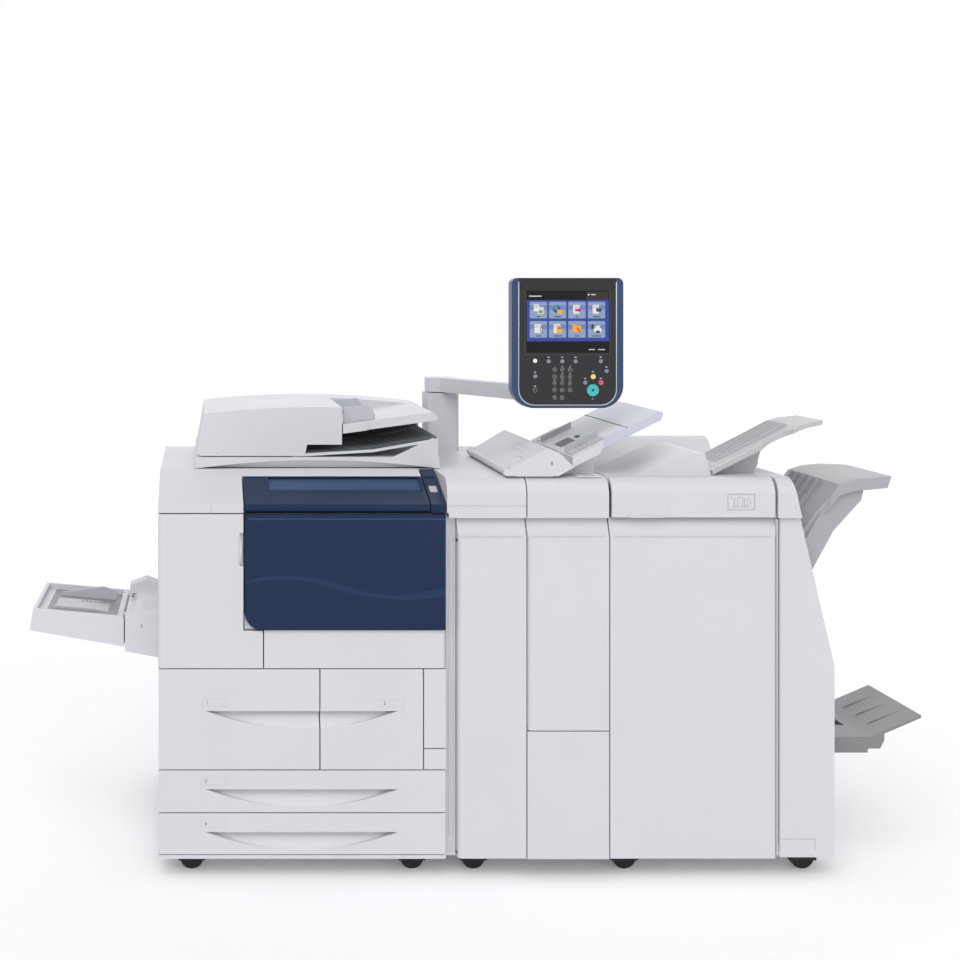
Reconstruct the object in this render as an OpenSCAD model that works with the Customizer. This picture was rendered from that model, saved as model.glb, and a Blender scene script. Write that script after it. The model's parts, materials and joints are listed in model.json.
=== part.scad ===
/* [Whole machine] */
// Depth of every cabinet, front to back
body_d = 780; // [740:10:840]
// Height of the cabinets' underside above the floor
floor_gap = 51; // [49:1:56]
// Depth of the front doors, front face to open back
door_d = 45; // [42:1:50]
// Wall of the moulded covers
wall = 4; // [3:0.5:5]
// Shut line between neighbouring covers
shut = 3; // [2.5:0.5:3.5]
// Running clearance of pins, rails and seats
fit = 0.3; // [0.2:0.05:0.4]
// Gap between neighbouring cabinets
module_gap = 3; // [2:0.5:4]

/* [Engine] */
// Width of the print engine
engine_w = 720; // [710:1:740]
// Width of the narrow left column of the front
left_w = 215; // [205:1:225]
// Width of the left door's foot under the blue panel
foot_w = 264; // [255:1:275]
// Height of the base skirt
skirt_h = 11; // [10:1:12]
// Height of the bottom drawer's front
tray4_h = 105; // [100:1:110]
// Height of the third drawer's front
tray3_h = 107; // [100:1:110]
// Height of the two deep drawers' fronts
tray12_h = 253; // [245:1:260]
// Height of the front doors
front_door_h = 388; // [380:1:391]
// Height of the white strip under the blue panel
strip_h = 96; // [90:1:100]
// Radius of the blue panel's lower left corner
blue_r = 45; // [30:1:60]
// How far the blue panel stands proud of the front
blue_proud = 6; // [4:1:7]
// Height of the upright lip of the upper front cover
lip_h = 23; // [20:1:26]
// Depth of the sloping shelf behind the lip
shelf_d = 150; // [140:1:160]
// Rise of the sloping shelf
shelf_rise = 53; // [48:1:55]
// Step from the sloping shelf up to the machine's top
deck_rise = 12; // [10:1:19]
// Width of the power section at the right of the shelf
power_w = 38; // [36:1:42]

/* [Drawers] */
// Width of the left deep drawer
tray1_w = 405; // [380:1:420]
// Width of the fixed access cover beside the deep drawers
access_w = 56; // [50:1:70]
// Height of the access cover
access_h = 198; // [180:1:210]
// Thickness of a drawer front
front_t = 32; // [30:1:36]
// Depth of a drawer box behind its front
box_d = 560; // [500:10:600]
// Width of the shared handle scoop
scoop_w = 481; // [440:1:500]
// Height of a handle scoop
scoop_h = 44; // [38:1:48]
// Depth of a handle scoop
scoop_d = 20; // [16:1:24]

/* [Scanner] */
// Left edge of the document cover
lid_x0 = 92; // [80:1:105]
// How far the document cover passes the engine's right side
lid_out = 18; // [2:1:25]
// Front of the document cover
lid_y0 = 200; // [198:1:215]
// Thickness of the document cover's base
lid_t = 29; // [26:1:34]
// Height of the document feeder above the cover's base
feeder_h = 112; // [108:1:114]
// Crown of the feeder's top over its ends
crown = 20; // [10:1:24]
// Right edge of the feeder's hood
hood_x1 = 480; // [465:1:492]
// Depth of the feeder's hood
hood_d = 360; // [340:1:380]
// Width of the exposed glass
glass_w = 440; // [432:1:460]
// Depth of the exposed glass
glass_d = 310; // [300:1:320]

/* [Bypass tray] */
// Front of the bypass feeder
bypass_y0 = 100; // [90:1:120]
// Depth of the bypass feeder, front to back
bypass_d = 340; // [330:1:350]
// Width of the bypass feeder's fixed base
bypass_base_w = 88; // [80:1:95]
// Length of the folding tray
bypass_l = 245; // [230:1:255]
// Height of the bypass feeder's base
bypass_h = 114; // [105:1:120]

/* [Console] */
// Side of the square console post
post_w = 96; // [90:1:100]
// Height of the console post
post_h = 171; // [165:1:180]
// Height of the console arm
arm_h = 42; // [38:1:46]
// Width of the console panel
panel_w = 288; // [280:1:296]
// Height of the console panel
panel_h = 336; // [326:1:346]
// Thickness of the console panel
panel_t = 38; // [34:1:44]
// Width of the touch screen
screen_w = 213; // [205:1:220]
// Height of the touch screen
screen_h = 159; // [150:1:165]

/* [Interface and inserter] */
// Width of the interface module
interface_w = 198; // [190:1:206]
// Width of the recessed strip beside the engine
side_strip_w = 27; // [24:1:32]
// Set-back of the recessed strip
side_strip_y = 25; // [24:1:28]
// Width of the inserter module
inserter_w = 204; // [198:1:210]
// Height of the inserter's upper door
inserter_door_h = 530; // [500:1:560]
// Height of the top covers above the doors
cap_h = 99; // [95:1:103]
// Radius of the top covers' front edge
cap_r = 42; // [36:1:48]
// Height of the slope at the doors' tops
slope_h = 48; // [40:1:56]
// Depth of the slope at the doors' tops
slope_d = 23; // [18:1:26]
// Depth of the sheet inserter
feed_d = 500; // [470:1:520]
// Width of the sheet inserter's hood
feed_hood_w = 186; // [180:1:195]
// Height of the sheet inserter's hood
feed_hood_h = 74; // [68:1:80]

/* [Finisher] */
// Width of the finisher at its foot
finisher_w = 566; // [560:1:580]
// Width of the finisher's door
finisher_door_w = 417; // [410:1:424]
// Width of the finisher at its top
finisher_top_w = 459; // [455:1:465]
// Height where the right side turns upright
flank_z = 531; // [510:1:550]
// Reach of the stacker tray from its channel
stacker_l = 236; // [220:1:250]
// Depth of the exit trays, front to back
tray_d = 312; // [300:1:320]
// Reach of the booklet tray from the side
booklet_l = 242; // [230:1:250]

/* [Casters] */
// Diameter of a caster wheel
wheel_d = 60; // [56:1:62]
// Width of a caster wheel
wheel_w = 24; // [20:1:26]

/* [Hidden] */
$fn = 48;

// Colours of the covers, metal and trim
white = [0.87, 0.88, 0.9];
grey = [0.62, 0.63, 0.66];
light_grey = [0.76, 0.77, 0.79];
dark = [0.2, 0.2, 0.21];
blue = [0.13, 0.24, 0.42];
metal = [0.7, 0.71, 0.73];

// One overrun for every cut
over = 1;

// Heights of the engine's front, from the floor up
z_tray4 = floor_gap + skirt_h;
z_tray3 = z_tray4 + tray4_h;
z_tray12 = z_tray3 + tray3_h;
z_doors = z_tray12 + tray12_h;
z_upper = z_doors + front_door_h;
z_lip = z_upper + lip_h;
z_shelf = z_lip + shelf_rise;
// Flat top that all the cabinets share
top_z = z_shelf + deck_rise;
z_cap = top_z - cap_h;
// Right edge of the document cover
lid_x1 = engine_w + lid_out;

// Depths: the frames start behind the open backs of the doors
frame_y = door_d + 5 * fit + shut;
shelf_back_y = lid_y0 - shut - fit;

// Places of the cabinets along the row
x_interface = engine_w + module_gap;
x_inserter = x_interface + interface_w + module_gap;
x_finisher = x_inserter + inserter_w + module_gap;
x_end = x_finisher + finisher_w;
x_column = x_finisher + finisher_door_w;

// The footprint's middle is the origin
x_left = -bypass_base_w - bypass_l;
x_right = x_end + booklet_l;
origin_x = (x_left + x_right) / 2;
origin_y = body_d / 2;

// Base pan: the casters are bolted under it
pan_t = 4;
caster_plate_t = 3;
hood_gap = 3;
z_pan = wheel_d + 2 * hood_gap + caster_plate_t;

// Front doors: their hinge edge is a quarter round about the hinge pin
hinge_r = 12;
pin_r = 4;
lug_t = 6;
lug_gap = 1.5;
free_d = 22;
relief = 50;
stile_w = 80;
stile_t = 4;

// Box between two corners, given axis by axis
module block(x0, x1, y0, y1, z0, z1) translate([x0, y0, z0]) cube([x1 - x0, y1 - y0, z1 - z0]);

// Extrusions of a side outline (y, z), a front outline (x, z) and a plan outline (x, y)
module along_x(x0, x1) translate([x0, 0, 0]) rotate([90, 0, 90]) linear_extrude(x1 - x0) children();
module along_y(y0, y1) translate([0, y1, 0]) rotate([90, 0, 0]) linear_extrude(y1 - y0) children();
module along_z(z0, z1) translate([0, 0, z0]) linear_extrude(z1 - z0) children();

// Round bars along each axis
module rod_x(x0, x1, y, z, r) translate([x0, y, z]) rotate([0, 90, 0]) cylinder(x1 - x0, r, r);
module rod_y(y0, y1, x, z, r) translate([x, y0, z]) rotate([-90, 0, 0]) cylinder(y1 - y0, r, r);
module rod_z(z0, z1, x, y, r) translate([x, y, z0]) cylinder(z1 - z0, r, r);

// Points of an outline given as shares of a width and a height
function outline(shares, w, h) = [for (s = shares) [s[0] * w, s[1] * h]];

// Rectangle with one radius for its upper corners and one for its lower ones
module rounded(w, h, r_low, r_high) {
    for (x = [r_low, w - r_low])
        translate([x, r_low]) circle(r_low);
    for (x = [r_high, w - r_high])
        translate([x, h - r_high]) circle(r_high);
    translate([r_low, 0]) square([w - 2 * r_low, r_low]);
    translate([0, r_low]) square([w, h - r_low - r_high]);
    translate([r_high, h - r_high]) square([w - 2 * r_high, r_high]);
}

// Plan outline of a door hinged at x = 0, drawn in by t all round for its hollow
module door_plan(w, t) {
    rim = t > 0 ? door_d + over : door_d;
    translate([hinge_r, hinge_r]) circle(hinge_r - t);
    polygon([[hinge_r, t], [w - t, t], [w - t, free_d - t / 2], [w - relief - t, rim], [t, rim],
        [t, hinge_r], [hinge_r, hinge_r]]);
}

// Side outline of a door, with a slope at its top
module door_side(h, t, sd, sh) {
    rim = t > 0 ? door_d + over : door_d;
    polygon([[t, t], [rim, t], [rim, h - t], [sd + t, h - t], [t, h - sh - t / 2]]);
}

// Hollow door hinged at x = 0, with its pins and the notches that clear the hinge lugs;
// a slope at its top starts above an inner shelf, from which the upper pin hangs
module door_shell(w, h, sd = 0, sh = 0) {
    difference() {
        intersection() {
            along_z(0, h) door_plan(w, 0);
            along_x(0, w) door_side(h, 0, sd, sh);
        }
        intersection() {
            along_z(0, h) door_plan(w, wall);
            along_x(0, w) door_side(h, wall, sd, sh);
        }
        for (z = lug_heights(h - sh))
            block(-over, wall + over, hinge_r - pin_r, door_d + over, z - lug_gap, z + lug_t + lug_gap);
    }
    if (sh > 0)
        along_z(h - sh - wall, h - sh) door_plan(w, 0);
    door_pins(h - sh);
}

// The two hinge pins, standing on the door's lower wall and hanging from its upper one
module door_pins(h) {
    rod_z(wall / 2, wall + 2 * lug_gap + lug_t, hinge_r, hinge_r, pin_r);
    rod_z(h - wall - 2 * lug_gap - lug_t, h - wall / 2, hinge_r, hinge_r, pin_r);
}

// Undersides of a door's two hinge lugs above its foot
function lug_heights(h) = [wall + lug_gap, h - wall - lug_gap - lug_t];

// Hinge lugs and the stile that carries them, for a door hinged at x = 0
module door_lugs(h, sh = 0) {
    reach = frame_y + stile_t / 2;
    arm = pin_r + fit;
    for (z = lug_heights(h - sh))
        along_z(z, z + lug_t) difference() {
            union() {
                translate([hinge_r, hinge_r]) circle(hinge_r - wall - fit);
                polygon([[hinge_r - arm, hinge_r + arm], [hinge_r + arm, hinge_r - arm],
                    [reach + arm, reach - arm], [reach - arm, reach + arm]]);
            }
            translate([hinge_r, hinge_r]) circle(pin_r + fit);
        }
    block(wall, stile_w, frame_y, frame_y + stile_t, 0, h);
}

// Turns what is hinged at x = 0 into its mirror image, hinged at the right edge of width w
module hinged_right(w) translate([w, 0, 0]) mirror([1, 0, 0]) children();

// Base pan under a cabinet: a plate with turned-down edges, open below
module pan(x0, x1) {
    block(x0, x1, frame_y, body_d - wall, z_pan, z_pan + pan_t);
    block(x0, x1, frame_y, frame_y + wall, floor_gap, z_pan);
}

// Shelf outline of the engine's upper front, drawn in by t
function shelf_outline(t) = [[t, z_upper + shut / 2], [t, z_lip - t / 2], [shelf_d, z_shelf - t],
    [shelf_back_y, top_z - t], [shelf_back_y, z_upper + shut / 2]];

// ENGINE
engine_in = 2 * wall;
divider_t = 4;
shelf_t = 4;
x_access = engine_w - access_w;
rail_w = 12;
rail_h = 8;
rail_y1 = frame_y + box_d - front_t;
scanner_t = 38;
z_scanner = top_z - scanner_t;

// One rail on each side of a drawer bay
module rails(x0, x1, z) {
    block(x0, x0 + rail_w, frame_y, rail_y1, z, z + rail_h);
    block(x1 - rail_w, x1, frame_y, rail_y1, z, z + rail_h);
}

// Height of a drawer's rails, as a share of the drawer's height
rail_share = 0.55;
function rail_z(z0, h) = z0 + rail_share * h;

module engine_frame() {
    inner_d = body_d - engine_in;
    color(metal) {
        difference() {
            block(wall, engine_w - wall, frame_y, body_d - wall, floor_gap, z_scanner);
            block(engine_in, engine_w - engine_in, frame_y - over, inner_d, z_pan + pan_t, z_upper - shelf_t);
            // Behind the shelf the frame rises to the scanner
            block(engine_in, engine_w - engine_in, shelf_back_y + wall, inner_d, z_upper - shelf_t - over,
                z_scanner - shelf_t);
            block(0, engine_w, frame_y - over, shelf_back_y, z_upper, z_scanner + over);
            block(engine_in, engine_w - engine_in, frame_y + wall, inner_d, floor_gap - over, z_pan);
        }
        for (z = [z_tray3, z_tray12, z_doors])
            block(engine_in, engine_w - engine_in, frame_y, inner_d, z - shelf_t / 2, z + shelf_t / 2);
        for (x = [tray1_w, x_access])
            block(x - divider_t / 2, x + divider_t / 2, frame_y, inner_d, z_tray12 + shelf_t / 2,
                z_doors - shelf_t / 2);
        rails(engine_in, engine_w - engine_in, rail_z(z_tray4, tray4_h));
        rails(engine_in, engine_w - engine_in, rail_z(z_tray3, tray3_h));
        rails(engine_in, tray1_w - divider_t / 2, rail_z(z_tray12, tray12_h));
        rails(tray1_w + divider_t / 2, x_access - divider_t / 2, rail_z(z_tray12, tray12_h));
        block(x_access, engine_w - engine_in, front_t, frame_y + wall, z_tray12 + shelf_t / 2,
            z_doors - shelf_t / 2);
        translate([0, 0, z_doors + shut / 2]) {
            door_lugs(front_door_h - shut);
            hinged_right(engine_w) door_lugs(front_door_h - shut);
        }
    }
}

// Side and rear covers, with louvres in the rear one
louvre_n = 9;
louvre_w = 260;
louvre_h = 5;
louvre_pitch = 14;
louvre_z = 700;

module engine_covers() {
    color(white) difference() {
        union() {
            for (x = [0, engine_w - wall]) {
                block(x, x + wall, frame_y, body_d, floor_gap, z_upper);
                block(x, x + wall, shelf_back_y, body_d, z_upper - over, z_scanner);
            }
            block(wall, engine_w - wall, body_d - wall, body_d, floor_gap, z_scanner);
        }
        for (i = [0 : louvre_n - 1])
            block((engine_w - louvre_w) / 2, (engine_w + louvre_w) / 2, body_d - wall - over,
                body_d + over, louvre_z + i * louvre_pitch, louvre_z + i * louvre_pitch + louvre_h);
    }
}

// Pins that carry the toner cover at both of its ends
toner_r = 9;
toner_z = z_upper + shut / 2 + toner_r;
toner_pin_l = 8;
toner_t = 10;
toner_back_y = shelf_d - shut;
x_power = engine_w - power_w;

module front_covers() {
    color(white) {
        // Upper left cover, with the bore of the toner cover's pin
        difference() {
            along_x(0, left_w - shut / 2) polygon(shelf_outline(0));
            along_x(wall, left_w - shut / 2 - 2 * wall) polygon(concat(shelf_outline(wall),
                [[shelf_back_y + over, z_upper], [wall, z_upper]]));
            rod_x(left_w - toner_pin_l - shut, left_w, toner_r, toner_z, pin_r + fit);
        }
        // White band behind the toner cover
        along_x(left_w - shut / 2, x_power - shut / 2) polygon([[shelf_d, z_shelf],
            [shelf_back_y, top_z], [shelf_back_y, z_scanner], [shelf_d, z_scanner]]);
        // Access cover, its filler and the skirt
        block(x_access + shut / 2, engine_w, 0, front_t, z_doors - access_h, z_doors - shut / 2);
        block(x_access + shut / 2, engine_w, 0, front_t, z_tray12 + shut / 2, z_doors - access_h - shut);
        block(0, engine_w, wall / 2, frame_y, floor_gap, z_tray4 - shut / 2);
    }
}

// Indicator window and switch in the power section, as shares of the shelf's depth
window_shares = [0.68, 0.96];
switch_shares = [0.42, 0.64];
window_w = 26;
switch_w = 20;
switch_travel = 3;
shelf_angle = atan2(shelf_rise, shelf_d);

// Moves into the plane of the shelf: x across, y up the slope, z out of it
module on_shelf(x) translate([x, 0, z_lip]) rotate([shelf_angle, 0, 0]) children();
shelf_l = norm([shelf_d, shelf_rise]);
switch_t = 14;

module power_fascia() {
    color(blue) difference() {
        along_x(x_power + shut / 2, engine_w) polygon(shelf_outline(0));
        rod_x(x_power, x_power + toner_pin_l + shut, toner_r, toner_z, pin_r + fit);
        on_shelf(x_power + power_w / 2) {
            block(-window_w / 2, window_w / 2, window_shares[0] * shelf_l, window_shares[1] * shelf_l,
                -wall / 2, over);
            block(-switch_w / 2, switch_w / 2, switch_shares[0] * shelf_l, switch_shares[1] * shelf_l,
                -switch_t, over);
        }
        along_x(x_power + shut / 2 + 2 * wall, engine_w - wall) polygon([
            [2 * switch_t, z_upper], [2 * switch_t, z_lip - switch_t],
            [shelf_d, z_shelf - 2 * switch_t], [shelf_back_y - wall, z_shelf - 2 * switch_t],
            [shelf_back_y - wall, z_upper]]);
    }
}

module power_switch() {
    color(light_grey) on_shelf(x_power + power_w / 2)
        block(fit - switch_w / 2, switch_w / 2 - fit, switch_shares[0] * shelf_l + fit,
            switch_shares[1] * shelf_l - fit, switch_travel + fit - switch_t, 0);
}

// Toner cover: the blue shelf, hinged at its front edge
recess_shares = [0.5, 0.97];
recess_margin = 9;
recess_d = 6;
subpanel_w = 42;
subpanel_x = 14;
subpanel_d = 1;

module toner_cover() {
    x0 = left_w + shut / 2;
    x1 = x_power - shut / 2;
    color(blue) {
        difference() {
            along_x(x0, x1) {
                translate([toner_r, toner_z]) circle(toner_r);
                polygon([[0, toner_z], [0, z_lip], [toner_back_y, z_lip + shelf_rise * toner_back_y / shelf_d],
                    [toner_back_y, z_lip + shelf_rise * toner_back_y / shelf_d - toner_t],
                    [2 * toner_r, z_lip - toner_r / 2], [2 * toner_r, toner_z]]);
            }
            on_shelf(0) {
                block(x0 + subpanel_x + subpanel_w + recess_margin, x1 - recess_margin,
                    recess_shares[0] * shelf_l, recess_shares[1] * shelf_l - wall, -recess_d, over);
                block(x0 + subpanel_x, x0 + subpanel_x + subpanel_w, recess_shares[0] * shelf_l,
                    recess_shares[1] * shelf_l - wall, -subpanel_d, over);
            }
        }
        rod_x(x0 - toner_pin_l, x1 + toner_pin_l, toner_r, toner_z, pin_r);
    }
}

// SCANNER
glass_x = 120;
glass_inset = 45;
glass_y = lid_y0 + glass_inset;
glass_t = 4;
glass_lap = 6;
lid_hinge_inset = 25;
lid_hinge_y = body_d - lid_hinge_inset;
lid_seat = 2;
lid_z0 = top_z + lid_seat;
lid_z1 = lid_z0 + lid_t;
lid_hinge_z = lid_z0 + lid_t / 2;
lid_back_gap = 15;
lid_back_y = lid_hinge_y - lid_back_gap;
hinge_post_w = 34;
hinge_post_inset = 70;
hinge_post_xs = [lid_x0 + hinge_post_inset, lid_x1 - hinge_post_inset - hinge_post_w];
lid_pin_r = 5;
ear_w = 12;
ear_r = 11;

module scanner_housing() {
    color(white) difference() {
        union() {
            block(0, engine_w, shelf_back_y, body_d, z_scanner, top_z);
            for (x = hinge_post_xs) {
                block(x, x + hinge_post_w, lid_hinge_y - ear_r, body_d, top_z, lid_hinge_z);
                rod_x(x, x + hinge_post_w, lid_hinge_y, lid_hinge_z, ear_r);
            }
        }
        block(glass_x, glass_x + glass_w, glass_y, glass_y + glass_d, z_scanner + wall, top_z + over);
        block(glass_x - glass_lap, glass_x + glass_w + glass_lap, glass_y - glass_lap,
            glass_y + glass_d + glass_lap, top_z - glass_t, top_z + over);
        for (x = hinge_post_xs)
            rod_x(x - over, x + hinge_post_w + over, lid_hinge_y, lid_hinge_z, lid_pin_r + fit);
    }
}

module platen_glass() {
    color([0.75, 0.85, 0.85, 0.5]) block(glass_x - glass_lap + fit, glass_x + glass_w + glass_lap - fit,
        glass_y - glass_lap + fit, glass_y + glass_d + glass_lap - fit, top_z - glass_t, top_z);
}

// Crown of the feeder: one large arc over its whole width
crown_chord = lid_x1 - lid_x0;
crown_r = (crown_chord * crown_chord / 4 + crown * crown) / (2 * crown);
crown_z = lid_z1 + feeder_h + crown;
crown_n = 16;
hood_y1 = lid_y0 + hood_d;
hood_inset = 5;
hood_lean = 20;
hood_hinge_r = 13;
hood_hinge_x = lid_x0 + hood_inset + hood_hinge_r;
hood_hinge_z = lid_z1 + shut + hood_hinge_r;
exit_l = 98;
exit_lean = 6;
exit_wall = 30;
hood_cut_x = hood_x1 - exit_l;
hood_cut_h = 33;
cavity_z = lid_z1 + hood_cut_h;
feed_wall_x = hood_cut_x - exit_wall;

// Height of the crown at x, and its points from x1 back to x0, lowered by t
function crown_at(x) = crown_z - crown_r
    + sqrt(crown_r * crown_r - pow(x - (lid_x0 + lid_x1) / 2, 2));
function crown_points(x0, x1, t) = [for (i = [crown_n : -1 : 0])
    let (x = x0 + i * (x1 - x0) / crown_n) [x, crown_at(x) - t]];

// Input tray: its front outline rises to the right
input_l = lid_x1 - hood_x1 - 2 * wall;
input_rise = 34;
exit_h = 62;
input_z = lid_z1 + exit_h;
input_t = 24;
input_step_share = 0.26;
input_x = hood_x1 + shut;
function input_at(x) = input_z + (x - input_x) * input_rise / input_l;

module document_cover() {
    color(white) {
        difference() {
            union() {
                block(lid_x0, lid_x1, lid_y0, lid_back_y, lid_z0, lid_z1);
                // Rear body with the feed motors
                along_y(hood_y1 + shut, lid_back_y) polygon(concat([[lid_x0 + hood_inset, lid_z1],
                    [lid_x1, lid_z1]], crown_points(lid_x0 + hood_inset + hood_lean, lid_x1, 0)));
            }
            // Crescent under the front edge, for the fingers
            intersection() {
                along_y(lid_y0 - over, lid_y0 + recess_h) polygon([for (i = [0 : crown_n])
                    [lid_x0 + wall + i * (crown_chord - 2 * wall) / crown_n,
                        lid_z0 - over + recess_h * (1 - pow(2 * i / crown_n - 1, 2))]]);
                along_x(lid_x0 + wall, lid_x1 - wall) polygon([[lid_y0 - over, lid_z0 - over],
                    [lid_y0 + recess_h, lid_z0 - over], [lid_y0 - over, lid_z0 + recess_h]]);
            }
            // Clearance round the hinge posts
            for (x = hinge_post_xs)
                rod_x(x - 2 * fit, x + hinge_post_w + 2 * fit, lid_hinge_y, lid_hinge_z, 3 * ear_r);
        }
        // Hinge ears and pins
        for (x = hinge_post_xs) {
            rod_x(x - 2 * fit - ear_w, x - 2 * fit, lid_hinge_y, lid_hinge_z, ear_r);
            block(x - 2 * fit - ear_w, x - 2 * fit, lid_back_y - over, lid_hinge_y,
                lid_hinge_z - ear_r, lid_hinge_z + ear_r);
            rod_x(x - 2 * fit - ear_w, x + hinge_post_w, lid_hinge_y, lid_hinge_z, lid_pin_r);
        }
        // Pins of the hood's hinge: one at the front lug, one in the rear body
        for (y = [lid_y0 + hood_lug_y, hood_y1 - hood_lug_y])
            difference() {
                block(hood_hinge_x - hood_hinge_r / 2, hood_hinge_x + hood_hinge_r / 2, y, y + lug_t,
                    lid_z1, hood_hinge_z + hood_hinge_r / 2);
                rod_y(y - over, y + lug_t + over, hood_hinge_x, hood_hinge_z, pin_r + fit);
            }
        input_tray();
        // Low side plate at the right of the output tray
        along_y(lid_y0, lid_y0 + wall) polygon(concat([for (p = outline(side_plate_shares,
            side_plate_w, side_plate_h)) [lid_x1 - wall + p[0], lid_z1 + p[1]]]));
    }
    // Output tray in the dark hollow, with its ribs
    color(grey) {
        output_tray();
        feed_rollers();
    }
}

recess_h = 22;
hood_lug_y = 24;
side_plate_w = 120;
side_plate_h = 50;
side_plate_shares = [[-1, 0], [0, 0], [0, 0.95], [-0.12, 1]];
rib_n = 5;
rib_w = 4;
rib_h = 3;
output_shares = [[0, 0], [0.55, 0.2], [1, 0.68], [1, 0.8], [0.55, 0.32], [0, 0.12]];
roller_r = 11;

module input_tray() {
    y1 = hood_y1 + shut;
    x1 = input_x + input_step_share * input_l;
    x2 = input_x + input_l - input_t / 2;
    x3 = input_x + input_l;
    // Deep rim in front, in two steps, and the tray's floor behind it
    along_y(lid_y0, y1) polygon([[input_x, input_at(input_x)], [x1, input_at(x1)],
        [x1, input_at(x1) + input_t], [input_x, input_at(input_x) + input_t]]);
    along_y(lid_y0 + input_t / 2, y1) polygon([[x1, input_at(x1)], [x3, input_at(x3)],
        [x3, input_at(x3) + input_t / 2], [x2, input_at(x2) + input_t], [x1, input_at(x1) + input_t]]);
}

module output_tray() {
    x0 = feed_wall_x;
    w = lid_x1 - wall - x0;
    h = input_z - lid_z1;
    along_y(lid_y0 + wall, hood_y1 + shut) polygon([for (p = outline(output_shares, w, h))
        [x0 + p[0], lid_z1 + p[1]]]);
    for (i = [0 : rib_n - 1])
        translate([0, lid_y0 + (i + 1) * hood_d / (rib_n + 1), 0])
            along_y(0, rib_w) polygon([for (p = outline(output_shares, w, h))
                [x0 + p[0], lid_z1 + p[1] + rib_h]]);
}

// Feed rollers and their bridge under the hood
module feed_rollers() {
    x0 = hood_hinge_x + 2 * hood_hinge_r;
    block(x0, feed_wall_x, lid_y0 + 4 * wall, hood_y1 + shut, lid_z1, cavity_z);
    for (x = [x0 + 4 * roller_r, feed_wall_x - 4 * roller_r])
        rod_y(lid_y0 + 6 * wall, hood_y1 - 2 * wall, x, cavity_z + roller_r / 2, roller_r);
}

// Hood of the feeder: a shell hinged along its lower left edge
module hood_outline(t) {
    x0 = lid_x0 + hood_inset + t;
    polygon(concat([[x0, hood_hinge_z], [hood_hinge_x, lid_z1 + shut + t], [hood_cut_x - t, lid_z1 + shut + t],
        [hood_cut_x + exit_lean - t, cavity_z + t], [hood_x1 - t, cavity_z + t]],
        crown_points(x0 + hood_lean, hood_x1 - t, t)));
    translate([hood_hinge_x, hood_hinge_z]) circle(hood_hinge_r - t);
}

module feeder_cover() {
    color(white) {
        difference() {
            along_y(lid_y0, hood_y1) hood_outline(0);
            along_y(lid_y0 + wall, hood_y1 - wall) difference() {
                hood_outline(wall);
                translate([hood_hinge_x, hood_hinge_z]) circle(hood_hinge_r);
            }
            // The back and the underside are open over the feed rollers
            block(lid_x0 + 3 * hood_hinge_r, feed_wall_x + over, lid_y0 + wall, hood_y1 + over, lid_z1, cavity_z + over);
            block(feed_wall_x, hood_x1 + over, lid_y0 + wall, hood_y1 + over, lid_z1, cavity_z + 2 * wall);
            for (y = [lid_y0 + hood_lug_y, hood_y1 - hood_lug_y])
                block(lid_x0, hood_hinge_x + hood_hinge_r, y - lug_gap, y + lug_t + lug_gap,
                    lid_z1, hood_hinge_z + hood_hinge_r);
        }
        for (y = [lid_y0 + hood_lug_y, hood_y1 - hood_lug_y])
            rod_y(y - 3 * lug_gap, y + lug_t + 3 * lug_gap, hood_hinge_x, hood_hinge_z, pin_r);
    }
}

// Document guides: they slide together on the input tray
guide_l = 84;
guide_h = 42;
guide_t = 8;
guide_inset = 26;
guide_ys = [lid_y0 + guide_inset, hood_y1 - 2 * guide_inset];
guide_shares = [[0, 0], [1, 0], [1, 0.3], [0.8, 0.92], [0.1, 1], [0, 1]];

module document_guide(y) {
    x0 = input_x + wall;
    along_y(y, y + guide_t) polygon([for (p = outline(guide_shares, guide_l, guide_h))
        [x0 + p[0], input_at(x0 + p[0]) + input_t + fit + p[1]]]);
}

module front_document_guide() color(grey) document_guide(guide_ys[0]);
module rear_document_guide() color(grey) document_guide(guide_ys[1]);

// INSIDE THE ENGINE
z_modules = z_doors + shelf_t / 2;
transfer_h = 84;
transfer_x0 = 120;
transfer_x1 = 690;
module_clear = 10;
module_back = 120;
module_y0 = frame_y + stile_t + module_clear;
module_y1 = body_d - module_back;
handle_w = 110;
handle_r = 7;
plate_t = 6;
drum_r = 46;
drum_x = 300;
fuser_r = 32;
fuser_x = 560;
shaft_r = 8;
bottle_r = 48;
rolls_z = z_modules + transfer_h + drum_r + plate_t;
cradle_z = rolls_z + drum_r + plate_t;
bottle_z = cradle_z + plate_t + bottle_r + 2 * fit;

// Green handle in front of a pull-out unit
module pull_handle(x, z) {
    for (dx = [-handle_w / 2, handle_w / 2])
        rod_y(module_y0 - 3 * handle_r / 2, module_y0 + over, x + dx, z, handle_r / 2);
    rod_x(x - handle_w / 2 - handle_r, x + handle_w / 2 + handle_r, module_y0 - handle_r, z, handle_r / 2);
}

module transfer_module() {
    color(dark) {
        difference() {
            block(transfer_x0, transfer_x1, module_y0, module_y1, z_modules, z_modules + transfer_h);
            block(transfer_x0 + wall, transfer_x1 - wall, module_y0 + wall, module_y1 + over,
                z_modules + wall, z_modules + transfer_h - wall);
        }
        pull_handle((transfer_x0 + transfer_x1) / 2, z_modules + transfer_h / 2);
    }
}

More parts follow.
